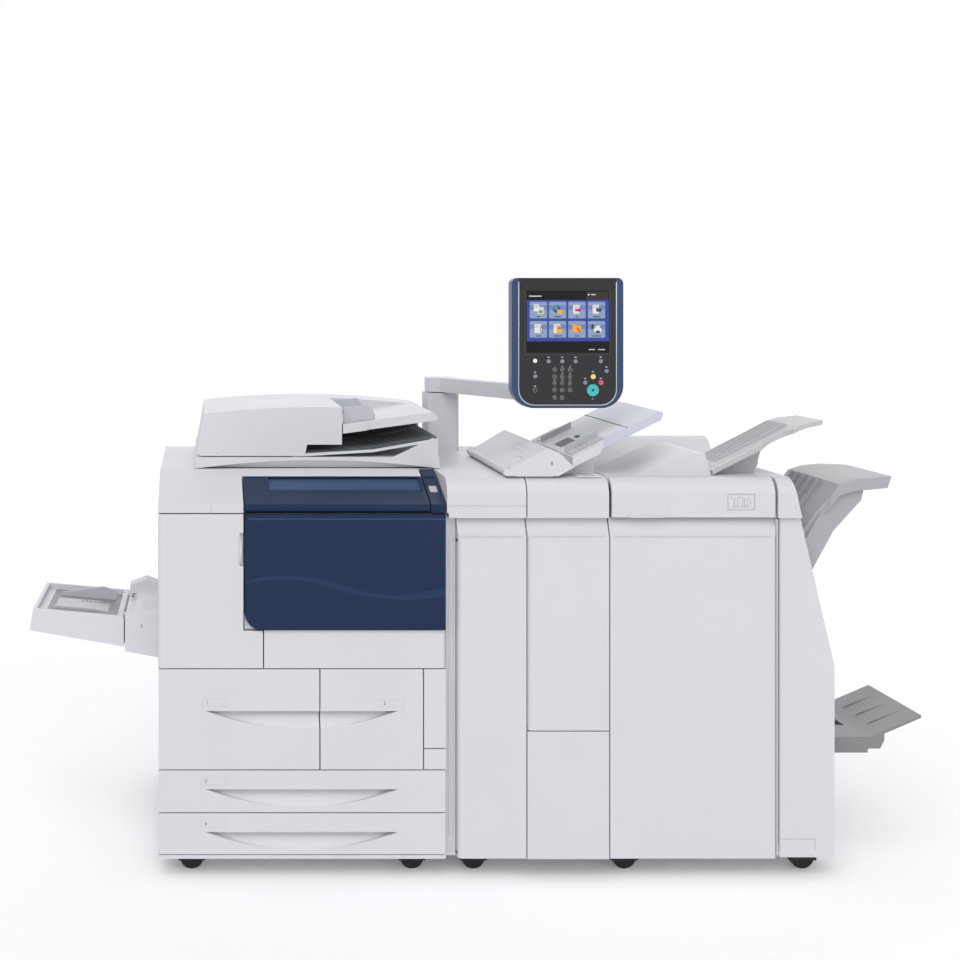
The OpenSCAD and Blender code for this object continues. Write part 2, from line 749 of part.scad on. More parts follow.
// End plates with the bores of the two rolls, and the toner bottle lying on them
module print_modules() {
    z0 = z_modules + transfer_h;
    y_plates = [module_y0 + 4 * plate_t, module_y1 - 5 * plate_t];
    x0 = drum_x - 2 * drum_r;
    x1 = fuser_x + 2 * fuser_r;
    color(dark) {
        for (y = y_plates)
            difference() {
                block(x0, x1, y, y + plate_t, z0, cradle_z);
                for (x = [drum_x, fuser_x])
                    rod_y(y - over, y + plate_t + over, x, rolls_z, shaft_r + fit);
            }
        block(x0, x1, y_plates[0], y_plates[1] + plate_t, cradle_z, cradle_z + plate_t);
    }
    color(light_grey) {
        rod_y(y_plates[0] - plate_t, y_plates[1], drum_x, bottle_z, bottle_r);
        block(drum_x - bottle_r, drum_x + bottle_r, y_plates[0], y_plates[1],
            cradle_z + plate_t, bottle_z - bottle_r / 2);
    }
}

// A roll with its shaft in the end plates
module roll(x, r) {
    rod_y(module_y0 + 5 * plate_t + fit, module_y1 - 5 * plate_t - fit, x, rolls_z, r);
    rod_y(module_y0 + 3 * plate_t, module_y1 - 3 * plate_t, x, rolls_z, shaft_r);
}

module photoreceptor_drum() color([0.2, 0.35, 0.3]) roll(drum_x, drum_r);
module fuser_roll() color([0.35, 0.3, 0.28]) roll(fuser_x, fuser_r);

// DRAWERS
box_t = 3;
box_clear = 3;
runner_t = 3;

// Lens-shaped scoop of a handle: a flat upper edge and an arc below
module scoop(x, z) {
    r = (scoop_w * scoop_w / 4 + scoop_h * scoop_h) / (2 * scoop_h);
    intersection() {
        rod_y(-over, scoop_d, x, z - scoop_h + r, r, $fn = 180);
        along_x(x - scoop_w / 2, x + scoop_w / 2) polygon([[-over, z], [scoop_d, z], [scoop_d, z - scoop_d / 2],
            [0, z - scoop_h], [-over, z - scoop_h]]);
    }
    // Finger groove behind the upper edge
    block(x - scoop_w / 3, x + scoop_w / 3, scoop_d / 2, scoop_d, z - over, z + scoop_d / 2);
}

// A drawer: front x0 to x1, z0 to z1, its box in the bay from b0 to b1
module drawer(x0, x1, z0, z1, b0, b1, floor_z, scoop_z) {
    y1 = frame_y + box_d - front_t - rail_w;
    rz = rail_z(z0, z1 - z0) + rail_h + fit;
    box_x0 = b0 + rail_w + box_clear;
    box_x1 = b1 - rail_w - box_clear;
    box_top = max(rz + 2 * runner_t, z1 - 7 * shelf_t);
    color(white) difference() {
        block(x0 + shut / 2, x1 - shut / 2, 0, front_t, z0 + shut / 2, z1 - shut / 2);
        scoop(x_scoop, scoop_z);
    }
    color(light_grey) {
        difference() {
            block(box_x0, box_x1, front_t, y1, floor_z, box_top);
            block(box_x0 + box_t, box_x1 - box_t, front_t, y1 - box_t, floor_z + box_t, box_top + over);
        }
        // Runners that lie on the rails
        for (x = [b0 + fit, box_x1 - fit])
            block(x, x + rail_w + box_clear, front_t, y1, rz, rz + runner_t);
    }
}

x_scoop = 360;
bay_clear = 2;
low_floor = z_pan + pan_t + bay_clear;

module drawer_1() drawer(0, tray1_w, z_tray12, z_doors, engine_in, tray1_w - divider_t / 2,
    z_tray12 + shelf_t / 2 + bay_clear, z_doors - 2.4 * scoop_h);
module drawer_2() drawer(tray1_w, x_access, z_tray12, z_doors, tray1_w + divider_t / 2, x_access - divider_t / 2,
    z_tray12 + shelf_t / 2 + bay_clear, z_doors - 2.4 * scoop_h);
module drawer_3() drawer(0, engine_w, z_tray3, z_tray12, engine_in, engine_w - engine_in,
    z_tray3 + shelf_t / 2 + bay_clear, z_tray12 - 1.1 * scoop_h);
module drawer_4() drawer(0, engine_w, z_tray4, z_tray3, engine_in, engine_w - engine_in,
    low_floor, z_tray3 - 1.1 * scoop_h);

// ENGINE DOORS
blue_t = 14;
door_z0 = z_doors + shut / 2;
left_door_w = left_w - shut / 2;
foot_h = strip_h - shut;
grip_w = 11;
grip_h = 82;
grip_share = 0.77;

module left_front_door() {
    h = front_door_h - shut;
    color(white) translate([0, 0, door_z0]) difference() {
        union() {
            door_shell(left_door_w, h);
            // Foot that reaches under the blue panel
            difference() {
                intersection() {
                    along_z(0, foot_h) door_plan(foot_w - shut / 2, 0);
                    block(left_door_w - relief - wall, foot_w, 0, door_d, 0, foot_h);
                }
                intersection() {
                    along_z(wall, foot_h - wall) door_plan(foot_w - shut / 2, wall);
                    block(left_door_w - relief, foot_w, 0, door_d + over, 0, foot_h);
                }
            }
        }
        // Finger recess in the free edge
        block(left_door_w - grip_w, left_door_w + over, -over, free_d / 2, grip_share * h - grip_h / 2,
            grip_share * h + grip_h / 2);
    }
}

// White body of the right door: its strip shows below the blue panel
module right_front_door() {
    h = front_door_h - shut;
    w = engine_w - left_w - shut / 2;
    strip_w = engine_w - foot_w - shut / 2;
    color(white) translate([engine_w - w, 0, door_z0]) hinged_right(w) difference() {
        door_shell(w, h);
        block(-over, w + over, -over, blue_t - blue_proud, strip_h, h + over);
        block(strip_w, w + over, -over, door_d + over, -over, strip_h);
    }
}

panel_edge_r = 8;
// Reach of the panel's rounded edge from the hinge pin
panel_sweep = panel_edge_r + norm([hinge_r - panel_edge_r, hinge_r + blue_proud - panel_edge_r]);

module blue_door_panel() {
    h = front_door_h - strip_h - shut;
    w = engine_w - left_w - shut / 2;
    // Pocket in the back for the upper hinge lug
    lug_z = lug_heights(front_door_h - shut)[1] - strip_h;
    color(blue) translate([engine_w - w, 0, door_z0 + strip_h]) difference() {
        blue_slab(w, h);
        rod_z(lug_z - lug_gap, lug_z + lug_t + lug_gap, w - hinge_r, hinge_r, hinge_r - wall + fit);
    }
}

// Rounded slab of width w and height h, proud of the front by blue_proud
module blue_slab(w, h) {
    edge_r = panel_edge_r;
    intersection() {
        along_y(-blue_proud, blue_t - blue_proud) {
            translate([blue_r, blue_r]) circle(blue_r);
            translate([blue_r, 0]) square([w - blue_r, blue_r]);
            translate([0, blue_r]) square([w, h - blue_r]);
        }
        along_z(-over, h + over) {
            for (x = [edge_r, w - edge_r])
                translate([x, edge_r - blue_proud]) circle(edge_r);
            translate([edge_r, -blue_proud]) square([w - 2 * edge_r, edge_r]);
            translate([0, edge_r - blue_proud]) square([w, blue_t]);
        }
    }
}

// BYPASS FEEDER
bypass_rise = 117;
bypass_z1 = z_doors + bypass_rise;
bypass_z0 = bypass_z1 - bypass_h;
bypass_y1 = bypass_y0 + bypass_d;
bypass_pin_r = 4;
bypass_hinge_r = 8;
bypass_hinge_x = -bypass_base_w - shut - bypass_hinge_r;
bypass_hinge_z = bypass_z1 - 2 * bypass_hinge_r;
bypass_slope = 0.085;
bypass_end_h = 78;
bypass_tip_h = 56;
bypass_rim = 9;
bypass_floor_d = 14;
bypass_lug_w = 12;
bypass_lug_inset = 40;
bypass_lug_ys = [bypass_y0 + bypass_lug_inset, bypass_y1 - bypass_lug_inset - bypass_lug_w];
bypass_fence_h = 32;
bypass_fence_d = 60;
bypass_fence_y = bypass_y1 - bypass_fence_d;

module bypass_base() {
    color(white) {
        difference() {
            union() {
                along_y(bypass_y0, bypass_y1) polygon([[0, bypass_z0], [0, bypass_z1], [-bypass_base_w / 2, bypass_z1],
                    [-bypass_base_w, bypass_z1 - bypass_hinge_r], [-bypass_base_w, bypass_z0 + 2 * bypass_hinge_r]]);
                // Raised rear part over the feed slot
                along_y(bypass_fence_y, bypass_y1) polygon([[0, bypass_z1 - over], [0, bypass_z1 + bypass_fence_h / 2],
                    [-bypass_base_w / 2, bypass_z1 + bypass_fence_h], [-bypass_base_w, bypass_z1 + bypass_fence_h / 2],
                    [-bypass_base_w, bypass_z1 - bypass_hinge_r]]);
                for (y = bypass_lug_ys) {
                    rod_y(y, y + bypass_lug_w, bypass_hinge_x, bypass_hinge_z, bypass_hinge_r - fit);
                    block(bypass_hinge_x, -bypass_base_w, y, y + bypass_lug_w,
                        bypass_hinge_z - bypass_hinge_r + fit, bypass_hinge_z + bypass_hinge_r - fit);
                }
            }
            for (y = bypass_lug_ys)
                rod_y(y - over, y + bypass_lug_w + over, bypass_hinge_x, bypass_hinge_z, bypass_pin_r + fit);
            // Feed slot
            block(-bypass_base_w - over, over - wall, bypass_y0 + 2 * bypass_rim, bypass_fence_y,
                bypass_hinge_z + bypass_hinge_r, bypass_z1 - wall);
        }
    }
}

// Front outline of the folding tray, with its floor lowered by t
function bypass_top(x) = bypass_hinge_z + bypass_hinge_r - (x - bypass_hinge_x) * bypass_slope;
tray_tip_x = -bypass_base_w - bypass_l;

module bypass_tray() {
    z_tip = bypass_top(tray_tip_x);
    color(white) {
        difference() {
            union() {
                along_y(bypass_y0, bypass_y1) polygon([[bypass_hinge_x, bypass_top(bypass_hinge_x)],
                    [tray_tip_x + bypass_rim, z_tip], [tray_tip_x, z_tip - bypass_tip_h],
                    [bypass_hinge_x + bypass_hinge_r, bypass_top(bypass_hinge_x) - bypass_end_h],
                    [bypass_hinge_x + bypass_hinge_r, bypass_hinge_z], [bypass_hinge_x, bypass_hinge_z]]);
                rod_y(bypass_y0, bypass_y1, bypass_hinge_x, bypass_hinge_z, bypass_hinge_r);
            }
            // Sheet floor, sunk between the rims
            along_y(bypass_y0 + bypass_rim, bypass_y1 - bypass_rim) polygon([
                [bypass_hinge_x - bypass_hinge_r, bypass_top(bypass_hinge_x) + over],
                [bypass_hinge_x - bypass_hinge_r, bypass_top(bypass_hinge_x) - bypass_floor_d],
                [tray_tip_x + 2 * bypass_rim, bypass_top(tray_tip_x + 2 * bypass_rim) - bypass_floor_d],
                [tray_tip_x + 2 * bypass_rim, bypass_top(tray_tip_x + 2 * bypass_rim) + over]]);
            // Hollow underside
            along_y(bypass_y0 + wall, bypass_y1 - wall) polygon([
                [bypass_hinge_x - 2 * bypass_hinge_r, bypass_top(bypass_hinge_x) - bypass_floor_d - wall],
                [tray_tip_x + 2 * bypass_rim, z_tip - bypass_floor_d - wall],
                [tray_tip_x + 2 * bypass_rim, z_tip - bypass_tip_h - 2 * bypass_rim],
                [bypass_hinge_x - 2 * bypass_hinge_r, bypass_top(bypass_hinge_x) - 2 * bypass_end_h]]);
            for (y = bypass_lug_ys)
                block(bypass_hinge_x - bypass_hinge_r - 2 * fit, -bypass_base_w, y - lug_gap, y + bypass_lug_w + lug_gap,
                    bypass_hinge_z - bypass_hinge_r - 2 * fit, bypass_z1);
        }
        for (y = bypass_lug_ys)
            rod_y(y - 2 * lug_gap, y + bypass_lug_w + 2 * lug_gap, bypass_hinge_x, bypass_hinge_z, bypass_pin_r);
    }
}

guide_fence_l = 150;
guide_fence_h = 24;
bypass_guide_t = 8;
bypass_guide_y = bypass_fence_y - bypass_fence_d / 2;

module bypass_guide() {
    x1 = bypass_hinge_x - 3 * bypass_hinge_r;
    color(light_grey) along_y(bypass_guide_y, bypass_guide_y + bypass_guide_t) polygon([
        [x1, bypass_top(x1) - bypass_floor_d + fit], [x1, bypass_top(x1) + guide_fence_h / 2],
        [x1 - guide_fence_l / 4, bypass_top(x1) + guide_fence_h],
        [x1 - guide_fence_l, bypass_top(x1 - guide_fence_l) - wall],
        [x1 - guide_fence_l, bypass_top(x1 - guide_fence_l) - bypass_floor_d + fit]]);
}

// CONSOLE
post_back = 140;
post_x = x_interface + (interface_w - post_w) / 2;
post_y = body_d - post_back;
post_top = top_z + post_h;
pivot_x = post_x + post_w / 2;
pivot_y = post_y + post_w / 2;
pivot_r = 14;
arm_z0 = post_top + shut;
arm_z1 = arm_z0 + arm_h;
arm_mid = (arm_z0 + arm_z1) / 2;
panel_out = 330;
panel_rise = 167;
panel_x = x_interface + panel_out;
panel_y = 112;
panel_z = top_z + panel_rise;
panel_back = panel_y + panel_t;
tilt_gap = 24;
tilt_y = panel_back + tilt_gap;
tilt_r = 15;
tilt_pin_r = 6;
tilt_w = 60;
ear_t = 10;
arm_w = 52;
post_corner = 10;
cap_w = 46;
arm_angle = atan2(tilt_y - pivot_y, panel_x - pivot_x);
arm_l = norm([tilt_y - pivot_y, panel_x - pivot_x]);

module console_post() {
    color(white) {
        along_z(top_z, post_top) translate([post_x, post_y]) rounded(post_w, post_w, post_corner, post_corner);
        rod_z(post_top - over, arm_z1 - wall, pivot_x, pivot_y, pivot_r);
    }
}

module console_arm() {
    color(white) difference() {
        union() {
            along_z(arm_z0, arm_z1) translate([pivot_x, pivot_y]) {
                circle(cap_w);
                rotate([0, 0, arm_angle]) polygon([[0, -arm_w / 2], [arm_l - tilt_r / 2, -arm_w / 3],
                    [arm_l - tilt_r / 2, arm_w / 3], [0, arm_w / 2]]);
            }
            rod_x(panel_x - tilt_w / 2, panel_x + tilt_w / 2, tilt_y, arm_mid, tilt_r);
            block(panel_x - tilt_w / 2, panel_x + tilt_w / 2, tilt_y, tilt_y + tilt_r + arm_w / 2,
                arm_mid - tilt_r, arm_mid + tilt_r);
        }
        rod_z(arm_z0 - over, arm_z1 - wall + fit, pivot_x, pivot_y, pivot_r + fit);
        rod_x(panel_x - tilt_w, panel_x + tilt_w, tilt_y, arm_mid, tilt_pin_r + fit);
    }
}

// The panel's own frame: x from its left edge, z from its lower edge
module on_panel() translate([panel_x - panel_w / 2, 0, panel_z]) children();
panel_low_r = 58;
panel_high_r = 15;
bezel = 18;
bezel_low = 8;
face_t = 4;
screen_t = 3;
screen_x_share = 0.133;
screen_z_share = 0.427;

module face_outline(t) translate([bezel + t, bezel_low + t])
    rounded(panel_w - 2 * bezel - 2 * t, panel_h - 2 * bezel_low - 2 * t, panel_low_r - bezel - t, panel_high_r / 2);

module console_housing() {
    color(blue) {
        on_panel() difference() {
            along_y(panel_y, panel_back) rounded(panel_w, panel_h, panel_low_r, panel_high_r);
            along_y(panel_y - over, panel_y + face_t) face_outline(0);
        }
        for (x = [panel_x - tilt_w / 2 - fit - ear_t, panel_x + tilt_w / 2 + fit]) {
            rod_x(x, x + ear_t, tilt_y, arm_mid, tilt_r);
            block(x, x + ear_t, panel_back - over, tilt_y, arm_mid - tilt_r, arm_mid + tilt_r);
        }
        rod_x(panel_x - tilt_w / 2 - ear_t, panel_x + tilt_w / 2 + ear_t, tilt_y, arm_mid, tilt_pin_r);
    }
}

// Places of the keys as shares of the panel's width and height
key_r = 5.3;
big_key_r = 6.4;
start_r = 15.4;
key_proud = 1;
start_shares = [0.726, 0.138];
stop_shares = [0.798, 0.197];
clear_shares = [0.729, 0.242];
pad_column_shares = [0.384, 0.453, 0.523];
pad_row_shares = [0.296, 0.242, 0.191, 0.140];
pad_last_share = 0.081;
small_key_shares = [[0.209, 0.363], [0.330, 0.360], [0.452, 0.360], [0.572, 0.360], [0.797, 0.360],
    [0.849, 0.285], [0.210, 0.244], [0.658, 0.197], [0.210, 0.138]];
key_shares = concat(small_key_shares, [for (x = pad_column_shares, z = pad_row_shares) [x, z]],
    [for (i = [0, 1]) [pad_column_shares[i], pad_last_share]]);

// A round key or its hole, standing on the panel
module key(shares, r, y0, y1) on_panel() rod_y(y0, y1, shares[0] * panel_w, shares[1] * panel_h, r, $fn = 24);

module console_face() {
    color(dark) difference() {
        on_panel() along_y(panel_y, panel_y + face_t) face_outline(fit);
        on_panel() block(screen_x_share * panel_w, screen_x_share * panel_w + screen_w, panel_y - over,
            panel_y + screen_t, screen_z_share * panel_h, screen_z_share * panel_h + screen_h);
        for (s = key_shares)
            key(s, key_r + fit, panel_y - over, panel_y + face_t + over);
        key(start_shares, start_r + fit, panel_y - over, panel_y + face_t + over);
        key(stop_shares, big_key_r + fit, panel_y - over, panel_y + face_t + over);
        key(clear_shares, big_key_r + fit, panel_y - over, panel_y + face_t + over);
    }
}

module touch_screen() color([0.2, 0.4, 0.8]) on_panel()
    block(screen_x_share * panel_w + fit, screen_x_share * panel_w + screen_w - fit, panel_y,
        panel_y + screen_t, screen_z_share * panel_h + fit, screen_z_share * panel_h + screen_h - fit);

module keypad() color(grey) for (s = key_shares)
    key(s, key_r, panel_y - key_proud, panel_y + face_t);

key_travel = 1.5;
module travel_key(shares, r) key(shares, r, panel_y - 2 * key_proud, panel_y + face_t - key_travel - fit);
module start_button() color([0.1, 0.7, 0.7]) travel_key(start_shares, start_r);
module stop_button() color([0.8, 0.25, 0.3]) travel_key(stop_shares, big_key_r);
module clear_button() color([0.95, 0.8, 0.4]) travel_key(clear_shares, big_key_r);

// CABINETS BESIDE THE ENGINE
// Side outline of a cabinet whose rounded top reaches forward over the doors, drawn in by t
module cabinet_side(front, t) {
    low = t > 0 ? floor_gap - over : floor_gap;
    translate([cap_r, top_z - cap_r]) circle(cap_r - t);
    polygon([[front, low], [front, z_cap + t], [t, z_cap + t], [t, top_z - cap_r], [cap_r, top_z - cap_r],
        [cap_r, top_z - t], [body_d - t, top_z - t], [body_d - t, low]]);
}

// Docking pads in the gap to the neighbour on the left
dock_w = 80;
dock_zs = [z_tray12, z_doors];
module dock_pads(x) for (z = dock_zs, y = [dock_w, body_d - 2 * dock_w])
    block(x - module_gap, x + over, y, y + dock_w, z, z + dock_w);

module cabinet_shell(x0, x1) {
    difference() {
        along_x(x0, x1) cabinet_side(frame_y, 0);
        along_x(x0 + wall, x1 - wall) cabinet_side(frame_y - over, wall);
    }
    pan(x0 + wall, x1 - wall);
    dock_pads(x0);
}

x_interface_door = x_interface + side_strip_w;
interface_door_w = x_inserter - module_gap - x_interface_door;
door_foot = floor_gap + shut / 2;
tall_door_h = z_cap - shut / 2 - door_foot;
groove_n = 3;
groove_w = 2;
band_h = 29;
band_z = z_cap + band_h;
band_w = 2;

module interface_cabinet() {
    x1 = x_inserter - module_gap;
    color(white) {
        difference() {
            cabinet_shell(x_interface, x1);
            // Relief for the proud edge of the engine's blue door
            block(x_interface - over, engine_w - hinge_r + panel_sweep + 2 * fit, -over, 2 * hinge_r + fit,
                z_cap - over, z_upper + over);
            // Seam between the top cover and the band above the door
            block(x_interface - over, x1 + over, -over, band_w, band_z, band_z + band_w);
        }
        difference() {
            block(x_interface, x_interface_door - shut / 2, side_strip_y, frame_y, floor_gap, z_cap);
            for (i = [1 : groove_n])
                block(x_interface + i * side_strip_w / (groove_n + 1) - groove_w / 2,
                    x_interface + i * side_strip_w / (groove_n + 1) + groove_w / 2, side_strip_y - over,
                    side_strip_y + groove_w, floor_gap + door_d, z_cap - door_d);
        }
        block(x_interface, x_interface_door + stile_w, frame_y, frame_y + stile_t, floor_gap, z_cap + wall);
        translate([x_interface_door, 0, door_foot]) door_lugs(tall_door_h, slope_h);
    }
}

module interface_door() color(white) translate([x_interface_door, 0, door_foot])
    door_shell(interface_door_w, tall_door_h, slope_d, slope_h);

z_inserter_door = z_cap - shut / 2 - inserter_door_h;

module inserter_cabinet() {
    x1 = x_finisher - module_gap;
    color(white) {
        cabinet_shell(x_inserter, x1);
        difference() {
            block(x_inserter, x1, 0, frame_y + over, floor_gap, z_inserter_door - shut);
            block(x_inserter + wall, x1 - wall, wall, frame_y + 2 * over, floor_gap - over, z_inserter_door - shut - wall);
        }
        translate([x_inserter, 0, z_inserter_door]) door_lugs(inserter_door_h, slope_h);
    }
}

module inserter_door() color(white) translate([x_inserter, 0, z_inserter_door])
    door_shell(x_finisher - module_gap - x_inserter, inserter_door_h, slope_d, slope_h);

// SHEET INSERTER
feed_inset = 137;
feed_x = x_interface + feed_inset;
feed_y0 = 20;
feed_y1 = feed_y0 + feed_d;
feed_hinge_r = 9;
feed_hinge_x = feed_x + 2 * feed_hinge_r;
feed_hinge_z = top_z + shut + feed_hinge_r;
feed_lug_y = 30;
hood_shares = [[0.1, 0.04], [0.06, 0.16], [0.15, 0.28], [0.634, 1], [0.81, 0.82], [1, 0.34], [0.79, 0.04]];
feed_tray_x = feed_x + feed_hood_w + shut;
feed_tray_l = 230;
feed_tray_rise = 114;
feed_tray_t = 26;
feed_seat = 22;
feed_tray_z = top_z + feed_seat;
feed_step = 68;
feed_wing = 25;
feed_slope = feed_tray_rise / feed_tray_l;

feed_lug_ys = [feed_y0 + feed_lug_y, feed_y1 - feed_lug_y - lug_t];

module hood_profile() polygon([for (p = outline(hood_shares, feed_hood_w, feed_hood_h))
    [feed_x + p[0], top_z + p[1]]]);

module inserter_hood() {
    color(white) {
        difference() {
            union() {
                along_y(feed_y0, feed_y1) hood_profile();
                rod_y(feed_y0, feed_y1, feed_hinge_x, feed_hinge_z, feed_hinge_r);
            }
            // Hollow, open below
            along_y(feed_y0 + wall, feed_y1 - wall) difference() {
                intersection() {
                    translate([wall, -wall]) hood_profile();
                    translate([-wall, -wall]) hood_profile();
                }
                translate([feed_hinge_x, feed_hinge_z]) circle(feed_hinge_r);
            }
            for (y = feed_lug_ys)
                block(feed_x, feed_hinge_x + 2 * feed_hinge_r, y - lug_gap, y + lug_t + lug_gap,
                    top_z - over, feed_hinge_z + feed_hinge_r + 2 * fit);
        }
        for (y = feed_lug_ys)
            rod_y(y - 2 * lug_gap, y + lug_t + 2 * lug_gap, feed_hinge_x, feed_hinge_z, pin_r);
    }
}

// Plane of the sheet tray: its upper surface above a place x
function feed_top(x) = feed_tray_z + feed_tray_t + (x - feed_tray_x) * feed_slope;

module feed_wedge(x0, x1, t) polygon([[x0, feed_top(x0) - t], [x1, feed_top(x1) - t],
    [x1 + t / 3, feed_top(x1) - t / 3], [x1, feed_top(x1)], [x0, feed_top(x0)]]);

module inserter_feeder() {
    color(white) {
        // Base under the hood, with the hinge lugs, and the tray's neck
        block(feed_hinge_x + 3 * feed_hinge_r, feed_x + 0.72 * feed_hood_w, feed_y0 + 2 * wall,
            feed_y1 - 2 * wall, top_z, top_z + feed_hood_h / 4);
        for (y = feed_lug_ys)
            difference() {
                union() {
                    rod_y(y, y + lug_t, feed_hinge_x, feed_hinge_z, feed_hinge_r - 2 * fit);
                    block(feed_hinge_x - feed_hinge_r / 2, feed_hinge_x + feed_hinge_r / 2, y, y + lug_t, top_z, feed_hinge_z);
                }
                rod_y(y - over, y + lug_t + over, feed_hinge_x, feed_hinge_z, pin_r + fit);
            }
        along_y(feed_y0 + feed_wing, feed_y1 - feed_wing) feed_wedge(feed_tray_x, feed_tray_x + feed_step, feed_tray_t);
        along_y(feed_y0 + 2 * feed_wing, feed_y1 - 2 * feed_wing)
            feed_wedge(feed_tray_x + feed_step - over, feed_tray_x + feed_tray_l, feed_tray_t - wall);
        along_y(feed_y0 + 3 * feed_wing, feed_y1 - 3 * feed_wing)
            polygon([[feed_x + 0.85 * feed_hood_w, top_z], [feed_tray_x + feed_step, top_z],
                [feed_tray_x + feed_step, feed_top(feed_tray_x + feed_step) - feed_tray_t + over],
                [feed_tray_x, feed_top(feed_tray_x) - feed_tray_t + over]]);
    }
}

// Guides of the sheet inserter: flat-topped plates that slide together
insert_guide_l = 84;
insert_guide_w = 62;
insert_guide_h = 16;
insert_guide_inset = 60;
insert_guide_ys = [feed_y0 + insert_guide_inset, feed_y1 - insert_guide_inset - insert_guide_w];

module inserter_guide(y, fence_y) {
    x0 = feed_tray_x + wall;
    x1 = x0 + insert_guide_l;
    color(grey) {
        along_y(y, y + insert_guide_w) polygon([[x0, feed_top(x0) + fit], [x1, feed_top(x1) + fit],
            [x1, feed_top(x1) + wall], [x0, feed_top(x0) + wall]]);
        along_y(fence_y, fence_y + wall) polygon([[x0, feed_top(x0) + fit], [x1, feed_top(x1) + fit],
            [x1, feed_top(x1) + insert_guide_h], [x0, feed_top(x0) + insert_guide_h]]);
    }
}

module front_inserter_guide() inserter_guide(insert_guide_ys[0], insert_guide_ys[0] + insert_guide_w - wall);
module rear_inserter_guide() inserter_guide(insert_guide_ys[1], insert_guide_ys[1]);

// FINISHER
column_y = 12;
column_chamfer = 12;
shoulder_w = 21;
channel_x = x_finisher + finisher_top_w + shut;
channel_y0 = 30;
channel_clear = 7;
channel_y1 = channel_y0 + tray_d + 2 * channel_clear;
channel_foot = 500;
channel_z0 = floor_gap + channel_foot;
flap_y = frame_y + shut / 2;
stack_rail_t = 10;
x_rail = channel_x + stack_rail_t;
stack_rail_w = 14;
stack_rail_inset = 70;
stack_rail_ys = [channel_y0 + stack_rail_inset, channel_y1 - stack_rail_inset - stack_rail_w];

// Front outline of the finisher, drawn in by t: the right side leans in above the flank
module finisher_outline(t) {
    low = t > 0 ? floor_gap - over : floor_gap;
    polygon([[x_finisher + t, low], [x_end - t, low], [x_end - t, flank_z],
        [x_finisher + finisher_top_w + shoulder_w - t, z_cap], [x_finisher + finisher_top_w - t, top_z - t],
        [x_finisher + t, top_z - t]]);
}

module finisher_body() {
    difference() {
        intersection() {
            union() {
                block(x_finisher, x_column + shut, frame_y, body_d, floor_gap, top_z);
                along_x(x_column + shut, x_end) cabinet_side(column_y, 0);
            }
            along_y(-over, body_d + over) finisher_outline(0);
        }
        // Hollow behind the door and in the column
        intersection() {
            union() {
                block(x_finisher + wall, x_column + shut + 2 * wall, frame_y - over, body_d - wall, floor_gap - over, top_z - wall);
                along_x(x_column + shut + wall, x_end) cabinet_side(column_y + wall, wall);
            }
            along_y(-over, body_d - wall) finisher_outline(wall);
        }
        // Bevel on the column's inner edge
        along_z(floor_gap - over, z_cap) polygon([[x_column + shut - over, column_y - over],
            [x_column + shut + column_chamfer, column_y - over], [x_column + shut - over, column_y + column_chamfer]]);
    }
}

// Box that lines the stacker's channel
module channel_liner() intersection() {
    difference() {
        block(channel_x - wall, x_end, channel_y0 - wall, channel_y1 + wall, channel_z0 - wall, top_z);
        block(channel_x, x_end + over, channel_y0, channel_y1, channel_z0, top_z + over);
    }
    along_y(0, body_d) finisher_outline(0);
}

hump_inset = 79;
hump_x0 = x_finisher + hump_inset;
hump_w = 195;
hump_h = 60;
hump_y0 = 60;
hump_y1 = 330;
hump_shares = [[0, 0], [0.685, 1], [0.92, 0.94], [1, 0]];
ridge_y0 = 560;
ridge_d = 100;
ridge_y1 = ridge_y0 + ridge_d;
ridge_h = 48;
ridge_shares = [[0, 0], [0.3, 0.72], [0.5, 0.95], [0.7, 1], [0.9, 0.8], [1, 0]];

module finisher_cabinet() {
    color(white) {
        difference() {
            finisher_body();
            block(channel_x - wall / 2, x_end + over, channel_y0, channel_y1, channel_z0, top_z + over);
            block(x_finisher - over, x_column + shut, -over, flap_y, z_cap - over, top_z + over);
        }
        channel_liner();
        dock_pads(x_finisher);
        for (y = stack_rail_ys)
            block(channel_x - over, x_rail, y, y + stack_rail_w, channel_z0 - over, z_cap);
        pan(x_finisher + wall, x_column);
        pan(x_column, x_end - wall);
        translate([x_finisher, 0, door_foot]) hinged_right(finisher_door_w) door_lugs(tall_door_h, slope_h);
        // Cheeks that carry the top cover's pins
        for (x = [x_finisher, x_column - wall])
            difference() {
                block(x, x + wall, flap_hinge_y - flap_hinge_r, flap_y + over, flap_hinge_z - flap_hinge_r, flap_hinge_z + flap_hinge_r - fit);
                rod_x(x - over, x + wall + over, flap_hinge_y, flap_hinge_z, pin_r + fit);
            }
        // Wedge on the top, beside the inserter's tray, and the ridge behind it
        along_y(hump_y0, hump_y1) polygon([for (p = outline(hump_shares, hump_w, hump_h))
            [hump_x0 + p[0], top_z - over + p[1]]]);
        along_x(x_finisher, channel_x - wall) polygon([for (p = outline(ridge_shares, ridge_y1 - ridge_y0, ridge_h))
            [ridge_y0 + p[0], top_z - over + p[1]]]);
    }
}

module finisher_door() color(white) translate([x_finisher, 0, door_foot])
    hinged_right(finisher_door_w) door_shell(finisher_door_w, tall_door_h, slope_d, slope_h);

// Flap along the finisher's front top edge, hinged behind its curve
flap_hinge_r = 10;
flap_hinge_y = flap_y - fit - shut / 2 - flap_hinge_r;
flap_hinge_z = top_z - flap_hinge_r;
flap_t = 12;
lip_w = 92;
lip_x = 40;
lip_d = 10;

module flap_profile() {
    translate([flap_hinge_y, flap_hinge_z]) circle(flap_hinge_r);
    difference() {
        intersection() {
            cabinet_side(frame_y, 0);
            translate([0, z_cap + shut / 2]) square([flap_hinge_y, cap_h]);
        }
        translate([cap_r, top_z - cap_r]) circle(cap_r - flap_t);
        translate([flap_t, z_cap]) square([cap_r, cap_h - cap_r]);
    }
}

